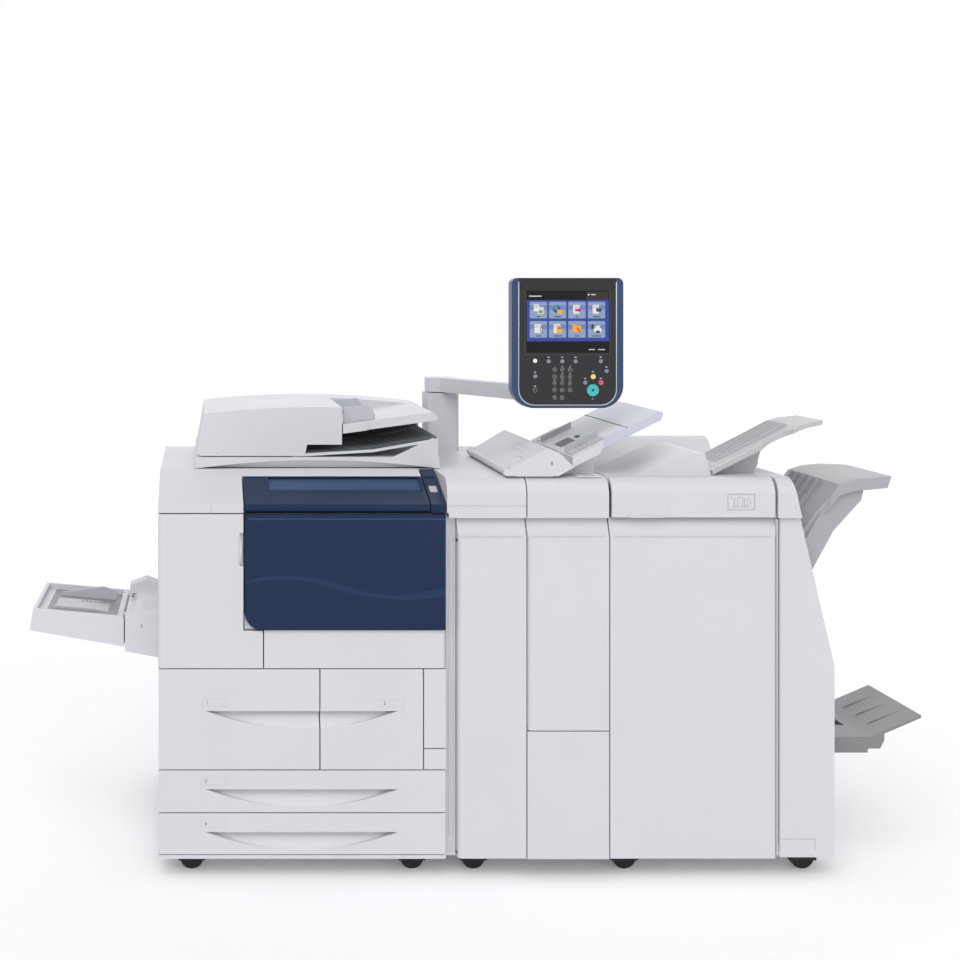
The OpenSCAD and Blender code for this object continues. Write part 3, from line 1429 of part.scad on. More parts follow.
module finisher_top_cover() {
    x0 = x_finisher + wall + fit;
    x1 = x_column - wall - fit;
    color(white) {
        difference() {
            along_x(x0, x1) flap_profile();
            // Label field, sunk a little, without a label
            block(x1 - label_x - label_w, x1 - label_x, -over, label_d, z_cap + 0.4 * cap_h - label_h / 2,
                z_cap + 0.4 * cap_h + label_h / 2);
        }
        rod_x(x0 - wall / 2, x1 + wall / 2, flap_hinge_y, flap_hinge_z, pin_r);
        block(x0 + lip_x, x0 + lip_x + lip_w, -lip_d / 2, lip_d, z_cap + shut / 2, z_cap + shut / 2 + wall);
    }
}
label_x = 50;
label_w = 70;
label_h = 43;
label_d = 1;

// EXIT TRAYS
// A moulded tray that climbs from its foot to a knee and on to its tip, as shares of its length and height
proof_inset = 185;
proof_x = channel_x - proof_inset;
proof_l = 282;
proof_h = 140;
proof_t = 12;
proof_d = 195;
proof_y0 = 60;
proof_shares = [[0, 0.09], [0.1, 0.2], [0.77, 0.88], [0.86, 0.95], [1, 1]];
stack_shares = [[0, 0.16], [0.05, 0.24], [0.44, 0.9], [0.6, 0.96], [1, 1]];
stack_scoop_share = 0.3;
proof_scoop_share = 0.18;
scoop_back_share = 0.16;
clip_share = 0.8;
rib_first_share = 0.34;
rib_step_share = 0.13;
tray_rib_n = 5;
tray_rib_w = 5;
tray_rib_h = 4;
bracket_l = 120;

// Tray of the given length and height at x, z, from y0 over the depth d, t thick
module climbing_tray(shares, x, z, l, h, t, y0, d, scoop_share) {
    top = outline(shares, l, h);
    tip = len(top) - 1;
    low = [for (i = [tip : -1 : 0]) [top[i][0] - (i == tip ? t / 3 : 0), top[i][1] - t]];
    difference() {
        along_y(y0, y0 + d) polygon([for (p = concat(top, low)) [x + p[0], z + p[1]]]);
        // Rounded hand scoop in the front edge, before the knee
        rod_z(z - h, z + 2 * h, x + top[2][0] - scoop_share * l, y0 - scoop_back_share * d, scoop_share * l);
        // Clipped corner at the rear of the tip
        along_z(z - h, z + 2 * h) polygon([[x + clip_share * l, y0 + d + over],
            [x + l + over, y0 + clip_share * d], [x + l + over, y0 + d + over]]);
    }
    for (i = [0 : tray_rib_n - 1]) {
        y = y0 + (rib_first_share + rib_step_share * i) * d;
        along_y(y, y + tray_rib_w) polygon([for (p = [top[1] - [0, t / 2], top[2] - [0, t / 2],
            top[2], top[2] + [-2 * tray_rib_h, tray_rib_h], top[1] + [0, tray_rib_h]]) [x + p[0], z + p[1]]]);
    }
}

bracket_r_share = 0.92;
bracket_shares = [[0.6, 0.66], [0.15, 0.2]];

module proof_tray() {
    foot = proof_x + 2 * wall;
    color(grey) {
        climbing_tray(proof_shares, proof_x, top_z, proof_l, proof_h, proof_t, proof_y0, proof_d, proof_scoop_share);
        // Curved bracket that stands on the finisher
        along_y(proof_y0 + 0.3 * proof_d, proof_y0 + 0.8 * proof_d) difference() {
            polygon(concat([[foot, top_z], [foot + bracket_l, top_z]],
                [for (p = outline(bracket_shares, proof_l, proof_h)) [proof_x + p[0], top_z + p[1]]]));
            translate([foot + 2 * bracket_l, top_z + 0.1 * proof_h]) circle(bracket_r_share * bracket_l);
        }
    }
}

stack_h = 200;
gusset_shares = [[0, -0.37], [0.17, -0.2], [0.4, 0.3], [0.7, 0.69], [0.74, 0.9], [0.4, 0.8], [0.06, 0.12], [0, 0]];
stack_t = 30;
stack_drop = 100;
stack_z = z_cap - stack_drop;
stack_y0 = channel_y0 + channel_clear;
carriage_t = 14;
carriage_h = 150;

module stacker_tray() {
    x0 = x_rail + carriage_t + fit;
    color(grey) {
        climbing_tray(stack_shares, x0 - over, stack_z, stacker_l, stack_h, stack_t, stack_y0, tray_d, stack_scoop_share);
        // Carriage with a slot round each rail
        difference() {
            block(channel_x + fit, x0, stack_y0, stack_y0 + tray_d, stack_z - carriage_h / 2, stack_z + carriage_h / 3);
            for (y = stack_rail_ys)
                block(channel_x - over, x_rail + fit, y - fit, y + stack_rail_w + fit, stack_z - carriage_h,
                    stack_z + carriage_h);
        }
        // Gusset under the tray
        along_y(stack_y0 + 0.04 * tray_d, stack_y0 + 0.5 * tray_d) polygon([for (p = outline(gusset_shares, stacker_l, stack_h))
            [x0 - over + p[0], stack_z + p[1]]]);
    }
}

booklet_rise = 231;
booklet_z = floor_gap + booklet_rise;
booklet_h = 104;
booklet_y0 = 60;
booklet_d = 285;
booklet_t = 8;
booklet_plate_share = 0.41;
base_shares = [[0, 0.15], [0.44, 0.15], [0.44, 0.25], [0.57, 0.25], [0.615, 0.46], [0.615, 0.655], [0.48, 0.54],
    [0, 0.54]];
booklet_rib_n = 3;
booklet_rib_w = 6;
booklet_rib_h = 3;

module booklet_tray() {
    x0 = x_end + booklet_plate_share * booklet_l;
    z0 = booklet_z + booklet_plate_share * booklet_h;
    color(grey) {
        // Steel plate that rises to the right, with its pressed ribs
        along_y(booklet_y0, booklet_y0 + booklet_d) polygon([[x0, z0], [x_end + booklet_l, booklet_z + booklet_h],
            [x_end + booklet_l, booklet_z + booklet_h + booklet_t], [x0, z0 + booklet_t]]);
        for (i = [1 : booklet_rib_n])
            along_y(booklet_y0 + i * booklet_d / (booklet_rib_n + 1), booklet_y0 + i * booklet_d / (booklet_rib_n + 1) + booklet_rib_w)
                polygon([[x_end + 0.55 * booklet_l, booklet_z + 0.55 * booklet_h + booklet_t - over],
                    [x_end + 0.9 * booklet_l, booklet_z + 0.9 * booklet_h + booklet_t - over],
                    [x_end + 0.9 * booklet_l, booklet_z + 0.9 * booklet_h + booklet_t],
                    [x_end + 0.6 * booklet_l, booklet_z + 0.6 * booklet_h + booklet_t + booklet_rib_h]]);
        // Delivery bed on the finisher's side, with the open bay of its belts
        difference() {
            along_y(booklet_y0, booklet_y0 + booklet_d) polygon([for (p = outline(base_shares, booklet_l, booklet_h))
                [x_end + p[0], booklet_z + p[1]]]);
            block(x_end + booklet_t, x0 - booklet_t, booklet_y0 + 0.35 * booklet_d, booklet_y0 + 0.8 * booklet_d,
                booklet_z + 0.3 * booklet_h, booklet_z + booklet_h);
        }
    }
}

// CASTERS: twin-cheeked hoods bolted under the pans, their wheels roll along the row
wheel_r = wheel_d / 2;
axle_r = 4;
cheek_t = 4;
hood_r = wheel_r + hood_gap + wall / 2;
plate_w = 56;
caster_back = 80;
caster_insets = [84, 75, 78, 55, 57];
caster_y0 = frame_y + wall + plate_w / 2;
caster_y1 = body_d - caster_back;
caster_xs = [caster_insets[0], engine_w - caster_insets[1], x_interface + caster_insets[2],
    x_finisher + caster_insets[3], x_end - caster_insets[4]];
caster_places = [for (y = [caster_y0, caster_y1], x = caster_xs) [x, y]];

module caster_hood(x, y) {
    half = wheel_w / 2 + fit + cheek_t;
    difference() {
        rod_y(y - half, y + half, x, wheel_r, hood_r);
        rod_y(y - wheel_w / 2 - fit, y + wheel_w / 2 + fit, x, wheel_r, wheel_r + hood_gap);
        block(x - hood_r - over, x + hood_r + over, y - half - over, y + half + over,
            wheel_r - hood_r - over, wheel_r - 2 * axle_r);
    }
    rod_y(y - half, y + half, x, wheel_r, axle_r);
    block(x - plate_w / 2, x + plate_w / 2, y - plate_w / 2, y + plate_w / 2, z_pan - caster_plate_t, z_pan);
    block(x - plate_w / 4, x + plate_w / 4, y - half, y + half, wheel_r + hood_r - wall / 4, z_pan);
}

module caster_housings() color(dark) for (p = caster_places) caster_hood(p[0], p[1]);

module wheel(i) color(dark) {
    p = caster_places[i - 1];
    difference() {
        rod_y(p[1] - wheel_w / 2, p[1] + wheel_w / 2, p[0], wheel_r, wheel_r);
        rod_y(p[1] - wheel_w, p[1] + wheel_w, p[0], wheel_r, axle_r + fit);
    }
}

// Centres a module on the machine's footprint
module place() translate([-origin_x, -origin_y, 0]) children();
place() engine_frame();
place() engine_covers();
place() front_covers();
place() power_fascia();
place() power_switch();
place() scanner_housing();
place() platen_glass();
place() print_modules();
place() transfer_module();
place() photoreceptor_drum();
place() fuser_roll();
place() drawer_1();
place() drawer_2();
place() drawer_3();
place() drawer_4();
place() left_front_door();
place() right_front_door();
place() blue_door_panel();
place() toner_cover();
place() document_cover();
place() feeder_cover();
place() front_document_guide();
place() rear_document_guide();
place() bypass_base();
place() bypass_tray();
place() bypass_guide();
place() console_post();
place() console_arm();
place() console_housing();
place() console_face();
place() touch_screen();
place() keypad();
place() start_button();
place() stop_button();
place() clear_button();
place() interface_cabinet();
place() interface_door();
place() inserter_cabinet();
place() inserter_door();
place() inserter_feeder();
place() inserter_hood();
place() front_inserter_guide();
place() rear_inserter_guide();
place() finisher_cabinet();
place() finisher_door();
place() finisher_top_cover();
place() proof_tray();
place() stacker_tray();
place() booklet_tray();
place() caster_housings();
place() wheel(1);  // wheel_1
place() wheel(2);  // wheel_2
place() wheel(3);  // wheel_3
place() wheel(4);  // wheel_4
place() wheel(5);  // wheel_5
place() wheel(6);  // wheel_6
place() wheel(7);  // wheel_7
place() wheel(8);  // wheel_8
place() wheel(9);  // wheel_9
place() wheel(10);  // wheel_10
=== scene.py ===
import json
import math

import bmesh
import bpy
from mathutils import Euler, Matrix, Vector


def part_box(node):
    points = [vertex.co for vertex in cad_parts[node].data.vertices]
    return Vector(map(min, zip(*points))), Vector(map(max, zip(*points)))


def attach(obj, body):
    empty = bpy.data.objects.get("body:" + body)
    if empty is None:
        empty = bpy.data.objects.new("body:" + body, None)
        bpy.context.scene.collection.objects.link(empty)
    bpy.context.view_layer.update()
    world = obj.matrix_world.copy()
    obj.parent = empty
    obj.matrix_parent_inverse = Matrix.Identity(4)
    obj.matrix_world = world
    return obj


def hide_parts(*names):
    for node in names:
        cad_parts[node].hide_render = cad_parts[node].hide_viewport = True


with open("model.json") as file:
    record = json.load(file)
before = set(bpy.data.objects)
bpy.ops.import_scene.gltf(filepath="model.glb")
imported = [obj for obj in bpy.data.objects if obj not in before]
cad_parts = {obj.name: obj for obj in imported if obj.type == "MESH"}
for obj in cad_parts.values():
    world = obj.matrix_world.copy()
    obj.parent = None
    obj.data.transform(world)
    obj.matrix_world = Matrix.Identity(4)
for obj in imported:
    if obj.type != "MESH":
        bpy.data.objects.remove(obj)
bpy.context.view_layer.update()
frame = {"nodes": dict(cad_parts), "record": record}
nodes = frame["nodes"]
slotOf = {part["node"]: part["material_slot"] for part in frame["record"]["subparts"]}
bodyOf = {node: body for body, members in frame["record"]["behaviour"]["bodies"].items() for node in members}
print("frame loaded:", len(nodes), "nodes")

scene = bpy.context.scene

# Sizes below are in millimetres, x from the engine's left side, y from its front, z from the floor
rowOrigin = (803, 390, 0)


def at(x, y, z):
    return Vector(((x - rowOrigin[0]) / 1000, (y - rowOrigin[1]) / 1000, z / 1000))


def paint(*shade):  # a colour as the eye names it, 0 to 255
    def linear(value):
        value /= 255
        return value / 12.92 if value <= 0.04045 else ((value + 0.055) / 1.055) ** 2.4

    return (*map(linear, shade), 1)


def placed(name, data):
    thing = bpy.data.objects.new(name, data)
    scene.collection.objects.link(thing)
    return thing


def preset(shader, **values):
    for name, value in values.items():
        shader.inputs[name.replace("_", " ")].default_value = value
    return shader


# ---- camera, light and floor
photoView = {
    "place": (-0.698, -3.930, 1.449), "tilt": 90, "focal": 53.1, "sensor": 36, "clip": (0.05, 60),
    "shift": (("shift_x", 0.2917), ("shift_y", -0.1875)), "reach": 0.05}
studio = {
    "world": 0.55, "white": (1, 1, 1, 1), "softness": 50,
    "floor": paint(246, 246, 248), "floorGlow": 0.14, "floorReach": 20, "floorRough": 0.9, "floorShine": 0.1,
    "lamps": (("keyLamp", (-0.30, -0.74, 0.80), 1.28), ("fillLamp", (0.60, -0.90, 0.35), 0.40),
              ("backLamp", (0.2, 0.9, 0.5), 0.45))}


def makeCamera():
    data = bpy.data.cameras.new("photoCamera")
    data.sensor_width, data.lens = photoView["sensor"], photoView["focal"]
    data.clip_start, data.clip_end = photoView["clip"]
    camera = placed("photoCamera", data)
    for channel, shift in photoView["shift"]:
        setattr(data, channel, shift)
        holdShift(data.driver_add(channel), camera, shift)
    camera.location = photoView["place"]
    camera.rotation_euler = (math.radians(photoView["tilt"]), 0, 0)
    scene.camera = camera


def holdShift(line, camera, shift):  # the lens shift holds at the photograph's place only
    for extra in list(line.modifiers):
        line.modifiers.remove(extra)
    line.keyframe_points.clear()
    line.keyframe_points.add(3)
    reach = photoView["reach"]
    for key, (offset, value) in zip(line.keyframe_points, ((-reach, 0), (0, shift), (reach, 0))):
        key.co = (photoView["place"][0] + offset, value)
        key.interpolation = "LINEAR"
    line.update()
    line.driver.type = "SUM"
    spot = line.driver.variables.new()
    spot.type = "TRANSFORMS"
    spot.targets[0].id, spot.targets[0].transform_type = camera, "LOC_X"


# What the camera and mirrors see turns white; the light on the object stays plain
def whiteForCamera(tree, shader, output, lift):
    add, link = tree.nodes.new, tree.links.new
    rays = add("ShaderNodeLightPath").outputs
    seen = rays["Is Camera Ray"]
    for ray in ("Is Transmission Ray", "Is Glossy Ray"):
        either = add("ShaderNodeMath")
        either.operation = "MAXIMUM"
        link(seen, either.inputs[0])
        link(rays[ray], either.inputs[1])
        seen = either.outputs[0]
    if lift:  # a floor keeps its shadow and gets a little of its own light
        glow, strength, mix = add("ShaderNodeEmission"), add("ShaderNodeMath"), add("ShaderNodeAddShader")
        strength.operation = "MULTIPLY"
        strength.inputs[1].default_value = lift
        link(seen, strength.inputs[0])
        link(strength.outputs[0], glow.inputs["Strength"])
        link(shader.outputs[0], mix.inputs[0])
        link(glow.outputs[0], mix.inputs[1])
    else:
        white, mix = add("ShaderNodeBackground"), add("ShaderNodeMixShader")
        preset(white, Color=studio["white"])
        link(seen, mix.inputs["Fac"])
        link(shader.outputs[0], mix.inputs[1])
        link(white.outputs[0], mix.inputs[2])
    link(mix.outputs[0], output.inputs["Surface"])


def makeStudio():
    world = bpy.data.worlds.new("studioWorld")
    scene.world = world
    world.use_nodes = True
    plain = world.node_tree.nodes["Background"]
    preset(plain, Color=studio["white"], Strength=studio["world"])
    whiteForCamera(world.node_tree, plain, world.node_tree.nodes["World Output"], 0)
    for name, side, strength in studio["lamps"]:
        data = bpy.data.lights.new(name, "SUN")
        data.energy, data.angle = strength, math.radians(studio["softness"])
        placed(name, data).rotation_euler = Vector(side).to_track_quat("Z", "Y").to_euler()
    reach = studio["floorReach"]
    floor = meshObject("studioFloor", [(-reach, -reach, 0), (reach, -reach, 0), (reach, reach, 0), (-reach, reach, 0)],
                       [(0, 1, 2, 3)])
    material = bpy.data.materials.new("studioFloor")
    material.use_nodes = True
    tree = material.node_tree
    plain = tree.nodes["Principled BSDF"]
    preset(plain, Base_Color=studio["floor"], Roughness=studio["floorRough"], Specular_IOR_Level=studio["floorShine"])
    whiteForCamera(tree, plain, tree.nodes["Material Output"], studio["floorGlow"])
    floor.data.materials.append(material)
    scene.view_settings.view_transform = "Standard"
    print("studio ready")


# ---- materials
texture = {"cloudDetail": 4, "grainDetail": 2, "reliefDepth": 0.0004}
display = {"off": (12, 12, 12), "glow": 0.9, "shades": {
    "screenDark": (30, 26, 24), "screenGrey": (62, 56, 54), "screenBlue": (58, 80, 168), "tileBlue": (152, 168, 200),
    "tileDeep": (120, 142, 188), "iconWhite": (240, 240, 238), "iconLine": (44, 52, 70), "iconAmber": (252, 186, 44),
    "iconOrange": (232, 110, 36), "iconPink": (206, 52, 140), "iconGreen": (104, 176, 66), "iconBlue": (40, 92, 190)}}
pane = {"through": 0.85, "bend": 1.5}


def surface(name, base, other, rough=0.5, spread=0.06, blotch=5, grain=700, bump=0.12, metallic=0.0, coat=0.0,
            specular=0.5):
    material = bpy.data.materials.new(name)
    material.use_nodes = True
    tree = material.node_tree
    add, link = tree.nodes.new, tree.links.new
    shader = tree.nodes["Principled BSDF"]
    place = add("ShaderNodeTexCoord")
    # A slow change of shade over the moulding, and the eroded grain of the tool
    cloud = preset(add("ShaderNodeTexNoise"), Scale=blotch, Detail=texture["cloudDetail"])
    fine = preset(add("ShaderNodeTexNoise"), Scale=grain, Detail=texture["grainDetail"])
    shade = add("ShaderNodeMix")
    shade.data_type = "RGBA"
    shade.inputs["A"].default_value, shade.inputs["B"].default_value = paint(*base), paint(*other)
    worn = preset(add("ShaderNodeMapRange"), To_Min=rough - spread, To_Max=rough + spread)
    relief = preset(add("ShaderNodeBump"), Strength=bump, Distance=texture["reliefDepth"])
    for noise in (cloud, fine):
        link(place.outputs["Object"], noise.inputs["Vector"])
    link(cloud.outputs["Fac"], shade.inputs["Factor"])
    link(shade.outputs["Result"], shader.inputs["Base Color"])
    link(cloud.outputs["Fac"], worn.inputs["Value"])
    link(worn.outputs["Result"], shader.inputs["Roughness"])
    link(fine.outputs["Fac"], relief.inputs["Height"])
    link(relief.outputs["Normal"], shader.inputs["Normal"])
    preset(shader, Metallic=metallic, Coat_Weight=coat, Specular_IOR_Level=specular)
    return material


def lit(name, base):  # a display's own light
    material = surface(name, display["off"], display["off"], rough=0.3, spread=0.02, bump=0.0, specular=0.1)
    preset(material.node_tree.nodes["Principled BSDF"], Emission_Color=paint(*base), Emission_Strength=display["glow"])
    return material


def clearGlass(name, tint):
    material = surface(name, tint, tint, rough=0.03, spread=0.01, bump=0.0)
    preset(material.node_tree.nodes["Principled BSDF"], Transmission_Weight=pane["through"], IOR=pane["bend"])
    return material


finishes = {
    "cover": surface("coverPlastic", (214, 215, 219), (209, 209, 214), specular=0.3),
    # a lighter copy of the cover plastic: a painted highlight on bevelled edges and on a few lit parts
    "coverEdge": surface("coverEdge", (226, 227, 231), (220, 221, 226), rough=0.4, bump=0.05, specular=0.35),
    "navy": surface("navyPlastic", (27, 46, 77), (23, 41, 71), rough=0.42, bump=0.08, blotch=3, specular=0.18),
    # a lighter copy of the navy plastic: a painted highlight on bevelled edges
    "navyEdge": surface("navyEdge", (50, 72, 108), (43, 64, 98), rough=0.35, bump=0.04, specular=0.25),
    "grey": surface("guidePlastic", (190, 191, 197), (182, 183, 190)),
    "tray": surface("trayPlastic", (172, 173, 177), (162, 163, 167), grain=500, bump=0.2),
    "paleTray": surface("extensionPlastic", (200, 203, 216), (192, 195, 209), rough=0.45),
    "boardTray": surface("bookletTrayPaint", (136, 136, 138), (130, 130, 132), rough=0.45, grain=900, specular=0.3),
    "black": surface("blackPlastic", (28, 27, 26), (20, 20, 20), rough=0.55, bump=0.2),
    "steel": surface("framePaint", (196, 198, 202), (184, 186, 190), rough=0.35, metallic=0.35, blotch=14),
    "bright": surface("brightSteel", (205, 206, 208), (188, 190, 193), rough=0.22, metallic=1.0, blotch=20, bump=0.04),
    "glass": clearGlass("platenGlass", (222, 234, 230)),
    "drum": surface("drumCoating", (46, 92, 80), (36, 78, 68), rough=0.16, coat=0.5, bump=0.02, blotch=12),
    "roll": surface("fuserRubber", (104, 78, 62), (92, 68, 54), rough=0.4, bump=0.1),
    "face": surface("facePlastic", (50, 50, 52), (45, 45, 47), rough=0.45, bump=0.15, grain=1100, specular=0.2),
    "dark": surface("darkTrim", (44, 46, 49), (38, 40, 43)),
    "key": surface("keyPlastic", (126, 136, 148), (116, 126, 138), rough=0.35, coat=0.2, bump=0.02),
    "padKey": surface("padKeyPlastic", (34, 34, 36), (28, 28, 30), rough=0.3, coat=0.3, bump=0.02),
    "teal": surface("startPlastic", (58, 186, 182), (48, 172, 170), rough=0.25, coat=0.4, bump=0.02, blotch=60),
    "red": surface("stopPlastic", (224, 86, 108), (212, 74, 98), rough=0.25, coat=0.4, bump=0.02, blotch=60),
    "yellow": surface("clearPlastic", (248, 210, 128), (240, 200, 112), rough=0.25, coat=0.4, bump=0.02, blotch=60),
    "wheel": surface("tyreRubber", (24, 23, 22), (16, 16, 16), rough=0.7, bump=0.3, grain=400),
    "ink": surface("printedMark", (104, 106, 112), (96, 98, 104), bump=0.0),
    "faintInk": surface("faintMark", (176, 178, 184), (168, 170, 176), bump=0.0),
    "paleInk": surface("paleMark", (196, 202, 210), (188, 194, 204), bump=0.0),
    "whiteKey": surface("homeKeyPlastic", (238, 238, 238), (230, 230, 231), rough=0.3, coat=0.3, bump=0.02),
    "trimLine": surface("silverTrim", (196, 200, 206), (184, 188, 194), rough=0.25, metallic=0.6, bump=0.02),
    "navyWave": surface("navyWave", (35, 55, 88), (31, 50, 82), rough=0.38, bump=0.02, specular=0.2),
    "proofTray": surface("proofTrayPlastic", (190, 190, 193), (184, 184, 188), rough=0.45, grain=500, specular=0.35),
    "panFloor": surface("panFloor", (142, 142, 146), (136, 136, 140), grain=500, specular=0.3),
    # a lighter blue: painted light on the toner pocket's floor
    "tonerPocket": surface("tonerPocket", (60, 82, 118), (54, 75, 110), rough=0.45, bump=0.04, specular=0.2),
    "bezel": surface("bezelPlastic", (48, 70, 106), (42, 63, 98), rough=0.32, bump=0.04, specular=0.35),
    # darker grey painted where shade falls inside hollows: the feeder's exit, the sensor window, the booklet bay
    "hollow": surface("hollowPlastic", (84, 89, 90), (72, 77, 78), rough=0.6),
    # a lighter copy of that grey: painted light on the exit's ribs
    "hollowRib": surface("hollowRib", (128, 132, 134), (116, 120, 122), rough=0.55),
    # a faint grey line painted as shade: the creases across the doors and the edges of the drawers' label recesses
    "window": surface("windowLine", (192, 193, 198), (188, 189, 194), bump=0.0),
    "shadowLine": surface("shadowLine", (84, 86, 90), (76, 78, 82), rough=0.6, bump=0.0),
    "seam": surface("seamLine", (138, 140, 146), (130, 132, 138), rough=0.6, bump=0.0),
}
finishes.update((name, lit(name, shade)) for name, shade in display["shades"].items())
finishes["screen"] = finishes["screenDark"]
# each finish's lighter copy for its bevel faces, a painted highlight
highlightOf = {"cover": "coverEdge", "navy": "navyEdge"}
ownFinish = {"booklet_tray": "boardTray", "proof_tray": "proofTray", "console_housing": "bezel"}
print("materials ready:", len(finishes))


# ---- shared ways of making
weld = {"digits": 6, "flat": 0.4, "reach": 0.000005}
sharpAngle, bevelAngle, rodSides, letterSteps = 38, 35, 20, 3


def meshObject(name, corners, faces):
    mesh = bpy.data.meshes.new(name)
    mesh.from_pydata([tuple(c) for c in corners], [], faces)
    mesh.update()
    return placed(name, mesh)


def camel(node):
    first, *rest = node.split("_")
    return first + "".join(word.capitalize() for word in rest)


def bake(thing):  # modifiers into a plain mesh
    graph = bpy.context.evaluated_depsgraph_get()
    graph.update()
    made = bpy.data.meshes.new_from_object(thing.evaluated_get(graph))
    made.name = thing.name
    thing.modifiers.clear()
    old, thing.data = thing.data, made
    if old.users == 0:
        bpy.data.meshes.remove(old)
    return thing


def smoothed(thing):
    thing.data.shade_smooth()
    thing.data.set_sharp_from_angle(angle=math.radians(sharpAngle))
    weighted = thing.modifiers.new("weighted", "WEIGHTED_NORMAL")
    weighted.keep_sharp = True
    return bake(thing)


def rounded(thing, width, segments=2, edgeMaterial=0):
    bevel = thing.modifiers.new("edges", "BEVEL")
    bevel.width, bevel.segments = width / 1000, segments
    bevel.limit_method, bevel.angle_limit = "ANGLE", math.radians(bevelAngle)
    bevel.use_clamp_overlap = True
    bevel.miter_outer = "MITER_ARC"
    bevel.material = edgeMaterial
    return smoothed(bake(thing))


def dress(thing, body, slot, finish):  # body and finish of a piece; the record slot argument is not used
    thing.data.materials.clear()
    thing.data.materials.append(finishes[finish])
    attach(thing, body)


def softened(node, width):  # the node's own form with moulded edges
    source = nodes[node].data
    work = bmesh.new()
    keys = [tuple(round(c, weld["digits"]) for c in corner.co) for corner in source.vertices]
    merged = {key: work.verts.new(key) for key in dict.fromkeys(keys)}
    lookup = [merged[key] for key in keys]
    for face in source.polygons:
        corners = [lookup[i] for i in face.vertices]
        if len(set(corners)) == len(corners) and not work.faces.get(corners):
            work.faces.new(corners)
    bmesh.ops.dissolve_limit(work, angle_limit=math.radians(weld["flat"]), verts=work.verts, edges=work.edges)
    mesh = bpy.data.meshes.new(camel(node))
    work.to_mesh(mesh)
    work.free()
    piece = placed(camel(node), mesh)
    finish = ownFinish.get(node, slotOf[node])
    # the second slot, on the bevel faces, is the lighter copy: a painted highlight on the edges
    for name in (finish, highlightOf.get(finish, finish)):
        mesh.materials.append(finishes[name])
    rounded(piece, width, edgeMaterial=1)
    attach(piece, bodyOf[node])
    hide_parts(node)


def closed(name, near, far):  # a solid between two outlines of as many points
    count = len(near)
    faces = [tuple(range(count)), tuple(reversed(range(count, 2 * count)))]
    faces += [(i, count + i, count + (i + 1) % count, (i + 1) % count) for i in range(count)]
    return facingOut(meshObject(name, near + far, faces))


def prism(name, outline, low, high):  # an outline seen from the front, from one depth to the other
    return closed(name, *([at(u, y, v) for u, v in outline] for y in (low, high)))


def facingOut(thing):
    work = bmesh.new()
    work.from_mesh(thing.data)
    bmesh.ops.remove_doubles(work, verts=work.verts, dist=weld["reach"])
    bmesh.ops.recalc_face_normals(work, faces=work.faces)
    work.to_mesh(thing.data)
    work.free()
    return thing


def joined(name, things):
    slots = list(dict.fromkeys(material for thing in things for material in thing.data.materials))
    work = bmesh.new()
    for thing in things:
        first = len(work.faces)
        work.from_mesh(thing.data)
        work.faces.ensure_lookup_table()
        for face in work.faces[first:]:
            if thing.data.materials:
                face.material_index = slots.index(thing.data.materials[face.material_index])
    mesh = bpy.data.meshes.new(name)
    work.to_mesh(mesh)
    work.free()
    for material in slots:
        mesh.materials.append(material)
    for thing in things:
        bpy.data.objects.remove(thing)
    return placed(name, mesh)


def cornered(corners, steps):  # a quarter turn about each of the given centres
    points = []
    for cu, cv, start, radius in corners:
        for i in range(steps + 1):
            angle = math.radians(start + 90 * i / steps)
            points.append((cu + radius * math.cos(angle), cv + radius * math.sin(angle)))
    return points


def roundRect(u0, v0, u1, v1, radius, steps):
    left, low, right, high = u0 + radius, v0 + radius, u1 - radius, v1 - radius
    return cornered(((right, high, 0, radius), (left, high, 90, radius), (left, low, 180, radius),
                     (right, low, 270, radius)), steps)


def square(a0, b0, a1, b1):
    return [(a0, b0), (a1, b0), (a1, b1), (a0, b1)]


def disc(cu, cv, radius, steps):
    return [(cu + radius * math.cos(2 * math.pi * i / steps), cv + radius * math.sin(2 * math.pi * i / steps))
            for i in range(steps)]


def treeOf(shape):  # Geometry Nodes: one bar or rod on every point of the given mesh
    tree = bpy.data.node_groups.new(shape + "OnPoints", "GeometryNodeTree")
    new, link = tree.nodes.new, tree.links.new
    for label, kind in (("Geometry", "Geometry"), ("Size", "Vector"), ("Turn", "Vector"), ("Finish", "Material")):
        tree.interface.new_socket(label, in_out="INPUT", socket_type="NodeSocket" + kind)
    tree.interface.new_socket("Geometry", in_out="OUTPUT", socket_type="NodeSocketGeometry")
    given, result = new("NodeGroupInput"), new("NodeGroupOutput")
    spots = new("GeometryNodeInstanceOnPoints")
    link(given.outputs["Geometry"], spots.inputs["Points"])
    if shape == "bar":
        form = new("GeometryNodeMeshCube")
        link(given.outputs["Size"], form.inputs["Size"])
    else:
        sizes = new("ShaderNodeSeparateXYZ")
        link(given.outputs["Size"], sizes.inputs[0])
        form = new("GeometryNodeMeshCylinder")
        form.inputs["Vertices"].default_value = rodSides
        link(sizes.outputs[0], form.inputs["Radius"])
        link(sizes.outputs[2], form.inputs["Depth"])
    link(form.outputs["Mesh"], spots.inputs["Instance"])
    link(given.outputs["Turn"], spots.inputs["Rotation"])
    real = new("GeometryNodeRealizeInstances")
    dressed = new("GeometryNodeSetMaterial")
    link(spots.outputs[0], real.inputs[0])
    link(real.outputs[0], dressed.inputs["Geometry"])
    link(given.outputs["Finish"], dressed.inputs["Material"])
    link(dressed.outputs[0], result.inputs[0])
    return tree


trees = {shape: treeOf(shape) for shape in ("bar", "rod")}


